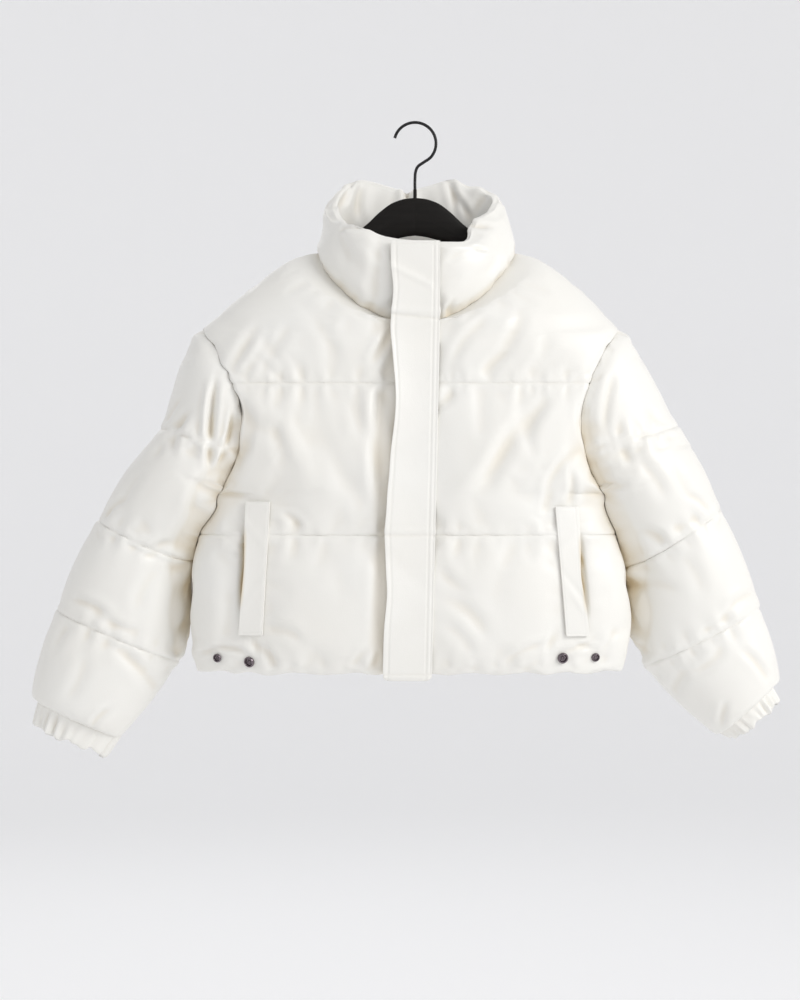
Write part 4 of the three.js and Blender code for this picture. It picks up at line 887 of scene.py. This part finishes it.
for side, cut in (("right", (0.030, 0.163)), ("left", (0.028, 0.158))):
    welt = WELTS[side]
    strip = shell_of("pocket_welt_" + side, "pocket_welt_%s_cloth" % side)
    sharpen(strip, no_seams)
    crease = strip.data.attributes["crease_edge"]
    soft = np.empty(len(crease.data), dtype=np.float32)
    crease.data.foreach_get("value", soft)
    crease.data.foreach_set("value", soft * 0.8)
    refine(strip, 4)
    points, out = points_of(strip), directions_of(strip)
    across, down = welt_place(points, welt)
    across *= welt["mouth"]
    face = np.clip(-out[:, 1] * 2 - 0.4, 0, 1)
    free = np.clip((across + 0.4) / 1.4, 0, 1) ** 2
    gape = np.sin(math.pi * np.clip(down, 0, 1)) ** 1.5
    lean = 0.35 if side == "right" else 1.0
    points[:, 0] -= welt["mouth"] * free * (0.0016 * gape + 0.0026 * lean * hump(down, welt["gape"], 0.16))
    points[:, 1] -= free * gape * 0.0018
    crumple = 0.0005 * hump(down + 0.10 * across, 0.26, 0.05) - 0.0005 * lean * hump(down - 0.11 * across, 0.60, 0.05)
    crumple += 0.0006 * lean * hump(down - 0.12 * across, 0.70, 0.05) * hump(across, 0.3, 0.8)
    inset = np.minimum((1 - abs(across)) * welt["width"] / 2, np.minimum(down, 1 - down) * cut[1])
    sewn = groove(inset - 0.0022, 0.0009) * (across < 0.8)
    place_points(strip, points + out * ((crumple - 0.0004 * sewn) * face)[:, None])
    # painted shade: the welts are darkened and warmed in colour in their grooves and creases
    paint_fold_shade(strip)
    dress(strip, shell_cloth)
    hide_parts("pocket_welt_" + side)


# ---- Stitching
# Cream polyester thread, in rows along the placket and down in the quilting lines. One short stitch is
# shaped, and the rows are joined copies of it.

STITCH_LENGTH = 0.0026
STITCH_PITCH = 0.0034
THREAD = 0.00024

bpy.ops.mesh.primitive_cylinder_add(vertices=6, radius=THREAD, depth=STITCH_LENGTH, rotation=(0, math.pi / 2, 0))
stitch = bpy.context.object
bpy.ops.object.transform_apply(location=True, rotation=True, scale=True)
stitch_points = points_of(stitch)
stitch_points[:, 2] -= 0.00035 * (stitch_points[:, 0] / STITCH_LENGTH * 2) ** 2
stitch_faces = [list(face.vertices) for face in stitch.data.polygons]
bpy.data.objects.remove(stitch)


def route_on(surfaces, ends, facing, steps=400):
    """Points of a straight line in the front view, dropped on the nearest surface from in front or behind."""
    (x1, z1), (x2, z2) = ends
    found = []
    for i in range(steps + 1):
        x, z = x1 + (x2 - x1) * i / steps, z1 + (z2 - z1) * i / steps
        hits = [surface.ray_cast(Vector((x, 0.5 * facing, z)), Vector((0, -facing, 0))) for surface in surfaces]
        hits = [hit for hit in hits if hit[0] is not None]
        if hits:
            place, normal, _, _ = min(hits, key=lambda hit: hit[3])
            found.append((np.array(place), np.array(normal)))
    return found


def sew(name, routes, depth=0.0):
    """Joins a row of stitches along each route into one piece."""
    corners, faces = [], []
    for route in routes:
        walked, target = 0.0, STITCH_PITCH / 2
        for (here, normal), (there, _) in zip(route, route[1:]):
            step = np.linalg.norm(there - here)
            if step > 0.01:
                continue
            while step > 0 and walked + step >= target:
                along = (there - here) / step
                middle = here + along * (target - walked)
                side = np.cross(normal, along)
                side /= np.linalg.norm(side)
                up = np.cross(along, side)
                base = len(corners)
                turned = stitch_points[:, :1] * along + stitch_points[:, 1:2] * side
                turned = turned + (stitch_points[:, 2:] - depth) * up + middle
                corners.extend(turned.tolist())
                faces.extend([[base + i for i in face] for face in stitch_faces])
                target += STITCH_PITCH
            walked += step
    row = bpy.data.objects.new(name, bpy.data.meshes.new(name))
    row.data.from_pydata(corners, [], faces)
    row.data.shade_smooth()
    bpy.context.collection.objects.link(row)
    return row


def thread_material(name, light, tone_and_shade):
    """Matt twisted thread: the cloth's tones with a fine slanting twist."""
    material, nodes, links, surface = new_material(name, light, 0.7)
    tone = nodes.new("ShaderNodeGroup")
    tone.node_tree = cloth_tone
    tone.inputs["Light"].default_value = (*light, 1)
    tone.inputs["Patch and shade colour"].default_value = (*tone_and_shade, 1)
    tone.inputs["Patch size"].default_value = 0.02
    links.new(tone.outputs["Color"], surface.inputs["Base Color"])
    twist = nodes.new("ShaderNodeTexWave")
    twist.bands_direction = "DIAGONAL"
    twist.inputs["Scale"].default_value = 900
    place = nodes.new("ShaderNodeTexCoord")
    links.new(place.outputs["Object"], twist.inputs["Vector"])
    relief = nodes.new("ShaderNodeBump")
    relief.inputs["Strength"].default_value = 0.5
    relief.inputs["Distance"].default_value = 0.0001
    links.new(twist.outputs["Fac"], relief.inputs["Height"])
    links.new(relief.outputs["Normal"], surface.inputs["Normal"])
    surface.inputs["Sheen Weight"].default_value = 0.1
    return material


cream_thread = thread_material("cream_thread", (0.80, 0.77, 0.69), CREAM_TONE_AND_SHADE)


def placket_line(aside, top, bottom):
    ends = [(float(placket_middle(np.array(level))) + aside, level) for level in (top, PLACKET_TURN, bottom)]
    routes = [route_on([placket_surface], pair, -1) for pair in zip(ends, ends[1:])]
    return routes[0] + routes[1]


top, bottom = PLACKET_TOP - 0.0035, PLACKET_BOTTOM + 0.0080
placket_rows = [placket_line(0.0278, top, bottom), placket_line(0.0224, top, bottom)]
placket_rows.append(route_on([placket_surface], [(-0.0262, top), (0.0215, top)], -1))
placket_rows.append(route_on([placket_surface], [(-0.0345, bottom), (0.0115, bottom)], -1))
placket_seams = sew("placket_stitching", placket_rows)
dress(placket_seams, cream_thread)

front_surfaces = [surface_of(body_panels[node][0]) for node in ("front_right", "front_left")]
back_surface = surface_of(body_panels["back"][0])
body_rows = []
for level in (CHEST_SEAM, WAIST_SEAM):
    body_rows.append(route_on(front_surfaces[:1], [(-0.26, level), (-0.02, level)], -1))
    body_rows.append(route_on(front_surfaces[1:], [(0.01, level), (0.26, level)], -1))
    body_rows.append(route_on([back_surface], [(-0.27, level), (0.27, level)], 1, 700))
body_quilting = sew("body_quilting", body_rows, 0.0001)
dress(body_quilting, cream_thread)

sleeve_rows = []
for side, sleeve in sleeves.items():
    for line in SLEEVE_SEAMS[side]:
        ends = [(x / 1000, z / 1000) for x, z in line]
        for facing in (-1, 1):
            sleeve_rows.append(route_on([surface_of(sleeve)], ends, facing))
sleeve_quilting = sew("sleeve_quilting", sleeve_rows, 0.0001)
dress(sleeve_quilting, cream_thread)


# ---- Hem snaps
# Four ring snaps of dark plated metal, pressed through the hem beside the side seams. Each has a rolled
# outer ring round a dished socket with a small post. The ones at the sides are smaller.

SNAP_RADIUS = {"right_side": 0.0054, "right_front": 0.0067, "left_front": 0.0067, "left_side": 0.0054}

bpy.ops.mesh.primitive_cylinder_add(vertices=40, radius=1.0, depth=0.30, location=(0, 0, 0.15))
snap = bpy.context.object
bpy.ops.object.transform_apply(location=True, rotation=True, scale=True)
bpy.ops.object.mode_set(mode="EDIT")
bpy.ops.mesh.select_mode(type="FACE")
bpy.ops.mesh.select_all(action="DESELECT")
bpy.ops.object.mode_set(mode="OBJECT")
for disc in snap.data.polygons:
    disc.select = disc.normal.z > 0.9
bpy.ops.object.mode_set(mode="EDIT")
for rim, rise in ((0.14, 0.22), (0.12, 0.03), (0.13, -0.20), (0.04, -0.30), (0.20, -0.02), (0.05, 0.14), (0.10, 0.0)):
    bpy.ops.mesh.inset(thickness=rim, depth=rise)
bpy.ops.mesh.inset(thickness=0.06, depth=-0.10)
bpy.ops.object.mode_set(mode="OBJECT")
bpy.ops.object.modifier_add(type="BEVEL")
snap.modifiers[-1].width = 0.025
snap.modifiers[-1].segments = 2
bpy.ops.object.modifier_apply(modifier=snap.modifiers[-1].name)
bpy.ops.object.shade_smooth_by_angle(angle=math.radians(50))
snap_points = points_of(snap)


def plated_metal(name):
    """Dark plated metal, a little uneven: random patches of brighter, duller plating and darker, glossier plating."""
    material, nodes, links, surface = new_material(name, (0.055, 0.045, 0.055), 0.26)
    surface.inputs["Metallic"].default_value = 0.9
    place = nodes.new("ShaderNodeTexCoord")
    cloud = nodes.new("ShaderNodeTexNoise")
    cloud.inputs["Scale"].default_value = 420
    cloud.inputs["Detail"].default_value = 3
    links.new(place.outputs["Object"], cloud.inputs["Vector"])
    tint = nodes.new("ShaderNodeMix")
    tint.data_type = "RGBA"
    tint.inputs["A"].default_value = (0.050, 0.038, 0.046, 1)
    tint.inputs["B"].default_value = (0.300, 0.255, 0.275, 1)
    links.new(cloud.outputs["Fac"], tint.inputs["Factor"])
    links.new(tint.outputs["Result"], surface.inputs["Base Color"])
    rough = nodes.new("ShaderNodeMapRange")
    rough.inputs["To Min"].default_value = 0.12
    rough.inputs["To Max"].default_value = 0.26
    links.new(cloud.outputs["Fac"], rough.inputs["Value"])
    links.new(rough.outputs["Result"], surface.inputs["Roughness"])
    return material


dark_plating = plated_metal("dark_plating")
for place, radius in SNAP_RADIUS.items():
    solid = shell_of("snap_" + place, "solid_" + place)
    corners = points_of(solid)
    centre = corners.mean(axis=0)
    _, _, spread = np.linalg.svd(corners - centre)
    away = spread[2] * (1 if spread[2][1] < 0 else -1)
    foot = centre + away * ((corners - centre) @ away).min()
    bpy.data.objects.remove(solid)
    side = np.cross(away, (0, 0, 1.0))
    side /= np.linalg.norm(side)
    up = np.cross(side, away)
    ring = bpy.data.objects.new("snap_%s_ring" % place, snap.data.copy())
    bpy.context.collection.objects.link(ring)
    turned = snap_points[:, :1] * side + snap_points[:, 1:2] * up * -1 + snap_points[:, 2:] * away
    place_points(ring, foot + turned * radius)
    dress(ring, dark_plating)
    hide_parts("snap_" + place)
bpy.data.objects.remove(snap)


# ---- Hanger bar
# A flat arched bar of wood with rounded edges, painted satin black, in two halves that are glued at the
# middle. It lies inside the shoulders, and only its middle shows in the neck.

BAR_EDGE = [(0, 0), (15, 1.6), (30, 7), (45, 18.5), (60, 33.5), (80, 48), (100, 60.8), (120, 76),
            (155, 103), (195, 134.3)]
BAR_CROWN = -0.092
BAR_THICKNESS = 0.011


def bar_heights(x):
    """Lower and upper edge of the bar at a place along it."""
    reach = abs(x) * 1000
    top = BAR_CROWN - np.interp(reach, *zip(*BAR_EDGE)) / 1000
    return -0.140 - 0.62 * reach**2 / (reach + 62) / 1000, top


stations = [-195, -193, -189, -184, -177, -165, -150, -135, -120, -105, -92, -80, -70, -60, -52, -45, -37, -30,
            -22, -15, -8, -1.2]
stations += [0.0] + [-x for x in reversed(stations)]
bpy.ops.object.select_all(action="DESELECT")
low, high = bar_heights(stations[0] / 1000)
start = (stations[0] / 1000, 0, (low + high) / 2)
bpy.ops.mesh.primitive_plane_add(size=1, location=start, rotation=(0, math.pi / 2, 0))
bar = bpy.context.object
bar.name = "hanger_bar_wood"
bpy.ops.object.transform_apply(location=True, rotation=True, scale=True)
bpy.ops.object.mode_set(mode="EDIT")
bpy.ops.mesh.select_all(action="SELECT")
bpy.ops.transform.resize(value=(1, BAR_THICKNESS * 0.3, (high - low) * 0.3))
bpy.ops.mesh.bevel(offset=0.0012, segments=4, affect="VERTICES")
span, thick = (high - low) * 0.3, BAR_THICKNESS * 0.3
for before, x in zip(stations, stations[1:]):
    low, high = bar_heights(x / 1000)
    inside = max(0.0, (abs(x) - 183) / 12)
    full = max(math.sqrt(1 - min(1, inside) ** 2), 0.3)
    full_span, full_thick = (high - low) * full, BAR_THICKNESS * full - (0.0009 if x == 0 else 0)
    full_span -= 0.0009 if x == 0 else 0
    was_low, was_high = bar_heights(before / 1000)
    shift = (low + high - was_low - was_high) / 2
    bpy.ops.mesh.extrude_region_move(TRANSFORM_OT_translate={"value": ((x - before) / 1000, 0, shift)})
    bpy.ops.transform.resize(value=(1, full_thick / thick, full_span / span))
    span, thick = full_span, full_thick
bpy.ops.mesh.select_all(action="SELECT")
bpy.ops.mesh.normals_make_consistent(inside=False)
bpy.ops.object.mode_set(mode="OBJECT")
refine(bar, 1)
bpy.ops.object.shade_smooth()


def painted_wood(name):
    """Satin black paint over wood: the grain shows as faint long ridges, and the paint is slightly uneven."""
    material, nodes, links, surface = new_material(name, (0.008, 0.007, 0.006), 0.42)
    surface.inputs["Specular IOR Level"].default_value = 0.16
    place = nodes.new("ShaderNodeTexCoord")
    squash = nodes.new("ShaderNodeMapping")
    squash.inputs["Scale"].default_value = (14, 260, 260)
    links.new(place.outputs["Object"], squash.inputs["Vector"])
    grain = nodes.new("ShaderNodeTexNoise")
    grain.inputs["Scale"].default_value = 1.0
    grain.inputs["Detail"].default_value = 5
    links.new(squash.outputs["Vector"], grain.inputs["Vector"])
    tint = nodes.new("ShaderNodeMix")
    tint.data_type = "RGBA"
    tint.inputs["A"].default_value = (0.005, 0.0045, 0.004, 1)
    tint.inputs["B"].default_value = (0.013, 0.011, 0.0095, 1)
    links.new(grain.outputs["Fac"], tint.inputs["Factor"])
    links.new(tint.outputs["Result"], surface.inputs["Base Color"])
    rough = nodes.new("ShaderNodeMapRange")
    rough.inputs["To Min"].default_value = 0.34
    rough.inputs["To Max"].default_value = 0.55
    links.new(grain.outputs["Fac"], rough.inputs["Value"])
    links.new(rough.outputs["Result"], surface.inputs["Roughness"])
    relief = nodes.new("ShaderNodeBump")
    relief.inputs["Strength"].default_value = 0.25
    relief.inputs["Distance"].default_value = 0.0002
    links.new(grain.outputs["Fac"], relief.inputs["Height"])
    links.new(relief.outputs["Normal"], surface.inputs["Normal"])
    return material


bpy.ops.mesh.primitive_cylinder_add(vertices=24, radius=0.00225, depth=0.024, location=(0, 0, BAR_CROWN - 0.002))
drill = bpy.context.object
bpy.ops.object.transform_apply(location=True, rotation=True, scale=True)
pick(bar)
bpy.ops.object.modifier_add(type="BOOLEAN")
bar.modifiers[-1].object = drill
bar.modifiers[-1].operation = "DIFFERENCE"
bpy.ops.object.modifier_apply(modifier=bar.modifiers[-1].name)
bpy.data.objects.remove(drill)
bpy.ops.object.shade_smooth_by_angle(angle=math.radians(45))
dress(bar, painted_wood("black_paint"))
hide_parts("hanger_bar")


# ---- Hanger hook
# Steel wire with black coating, bent round at the top and back to the middle. Its straight end is driven
# into a hole in the bar.

HOOK_RADIUS = 0.0262
WIRE_RADIUS = 0.0019

hook_points = []
for i in range(19):
    angle = math.radians(165 + (-42 - 165) * i / 18)
    hook_points.append((HOOK_RADIUS * math.cos(angle), WIRE_RADIUS - HOOK_RADIUS + HOOK_RADIUS * math.sin(angle)))
hook_points += [(0.010, -0.0485), (0.0034, -0.0535), (0.0007, -0.060), (0.0, -0.068), (0.0, -0.086), (0.0, -0.105)]
bend = bpy.data.curves.new("hanger_hook_wire", "CURVE")
bend.dimensions = "3D"
bend.resolution_u = 5
bend.bevel_depth = WIRE_RADIUS
bend.bevel_resolution = 5
bend.use_fill_caps = True
route = bend.splines.new("BEZIER")
route.bezier_points.add(len(hook_points) - 1)
for knot, (x, z) in zip(route.bezier_points, hook_points):
    knot.co = (x, 0, z)
    knot.handle_left_type = knot.handle_right_type = "AUTO"
hook = bpy.data.objects.new("hanger_hook_wire", bend)
bpy.context.collection.objects.link(hook)
pick(hook)
bpy.ops.object.convert(target="MESH")
hook = bpy.context.object
bpy.ops.object.modifier_add(type="BEVEL")
hook.modifiers[-1].width = 0.0009
hook.modifiers[-1].segments = 3
hook.modifiers[-1].limit_method = "ANGLE"
hook.modifiers[-1].angle_limit = math.radians(60)
bpy.ops.object.modifier_apply(modifier=hook.modifiers[-1].name)
bpy.ops.object.shade_smooth()


def coated_wire(name):
    """Black-coated steel wire: smooth, with fine drawn streaks and slightly uneven gloss."""
    material, nodes, links, surface = new_material(name, (0.012, 0.012, 0.013), 0.3)
    surface.inputs["Metallic"].default_value = 0.5
    place = nodes.new("ShaderNodeTexCoord")
    streak = nodes.new("ShaderNodeTexNoise")
    streak.inputs["Scale"].default_value = 300
    streak.inputs["Detail"].default_value = 2
    links.new(place.outputs["Object"], streak.inputs["Vector"])
    rough = nodes.new("ShaderNodeMapRange")
    rough.inputs["To Min"].default_value = 0.24
    rough.inputs["To Max"].default_value = 0.42
    links.new(streak.outputs["Fac"], rough.inputs["Value"])
    links.new(rough.outputs["Result"], surface.inputs["Roughness"])
    tint = nodes.new("ShaderNodeMix")
    tint.data_type = "RGBA"
    tint.inputs["A"].default_value = (0.008, 0.008, 0.009, 1)
    tint.inputs["B"].default_value = (0.022, 0.021, 0.022, 1)
    links.new(streak.outputs["Fac"], tint.inputs["Factor"])
    links.new(tint.outputs["Result"], surface.inputs["Base Color"])
    return material


dress(hook, coated_wire("black_coated_wire"))
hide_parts("hanger_hook")


# ---- Floor, light and camera
# A plain pale floor that curves up far away on every side, soft light from the front right, and the
# camera level with the middle of the jacket.

bpy.ops.mesh.primitive_circle_add(vertices=96, radius=6.0, fill_type="NGON", location=(0, 0, -1.5))
floor = bpy.context.object
floor.name = "floor"
bpy.ops.object.mode_set(mode="EDIT")
bpy.ops.mesh.select_all(action="SELECT")
for step in range(1, 9):
    turn = math.pi / 2 * step / 8
    before = math.pi / 2 * (step - 1) / 8
    reach = (6 + 2 * math.sin(turn)) / (6 + 2 * math.sin(before))
    bpy.ops.mesh.extrude_region_move(
        TRANSFORM_OT_translate={"value": (0, 0, 2 * (math.cos(before) - math.cos(turn)))}
    )
    bpy.ops.transform.resize(value=(reach, reach, 1))
bpy.ops.mesh.extrude_region_move(TRANSFORM_OT_translate={"value": (0, 0, 3.0)})
bpy.ops.mesh.delete(type="ONLY_FACE")
bpy.ops.object.mode_set(mode="OBJECT")
bpy.ops.object.transform_apply(location=True, rotation=True, scale=True)
bpy.ops.object.shade_smooth()
floor_paint, _, _, floor_surface = new_material("pale_floor", (0.82, 0.82, 0.825), 0.9)
floor_surface.inputs["Emission Color"].default_value = (1, 1, 1, 1)
floor_surface.inputs["Emission Strength"].default_value = 0.15
floor.data.materials.append(floor_paint)


def soft_light(name, place, size, power, colour):
    bpy.ops.object.light_add(type="AREA", location=place)
    light = bpy.context.object
    light.name = name
    light.data.shape = "RECTANGLE"
    light.data.size, light.data.size_y = size
    light.data.energy = power
    light.data.color = colour
    light.rotation_euler = (Vector((0, 0, -0.45)) - Vector(place)).to_track_quat("-Z", "Y").to_euler()


soft_light("window_light", (2.6, -2.0, 1.1), (1.8, 1.8), 60, (1.0, 0.995, 0.99))
soft_light("fill_light", (-2.8, -3.0, 0.4), (2.6, 2.6), 3, (0.98, 0.99, 1.0))
soft_light("rear_light", (-0.6, 3.2, 1.4), (2.6, 2.0), 14, (1.0, 1.0, 1.0))

world = bpy.data.worlds.new("studio")
bpy.context.scene.world = world
world.use_nodes = True
world.node_tree.nodes["Background"].inputs["Color"].default_value = (0.985, 0.985, 1.0, 1)
world.node_tree.nodes["Background"].inputs["Strength"].default_value = 0.68
bpy.context.scene.view_settings.view_transform = "Standard"

camera = bpy.data.objects.new("camera", bpy.data.cameras.new("camera"))
bpy.context.collection.objects.link(camera)
camera.location = (-0.01875, -3.0, -0.47)
camera.rotation_euler = (math.pi / 2, 0, 0)
camera.data.lens = 36 / 2 / (0.625 / 3.0)
bpy.context.scene.camera = camera
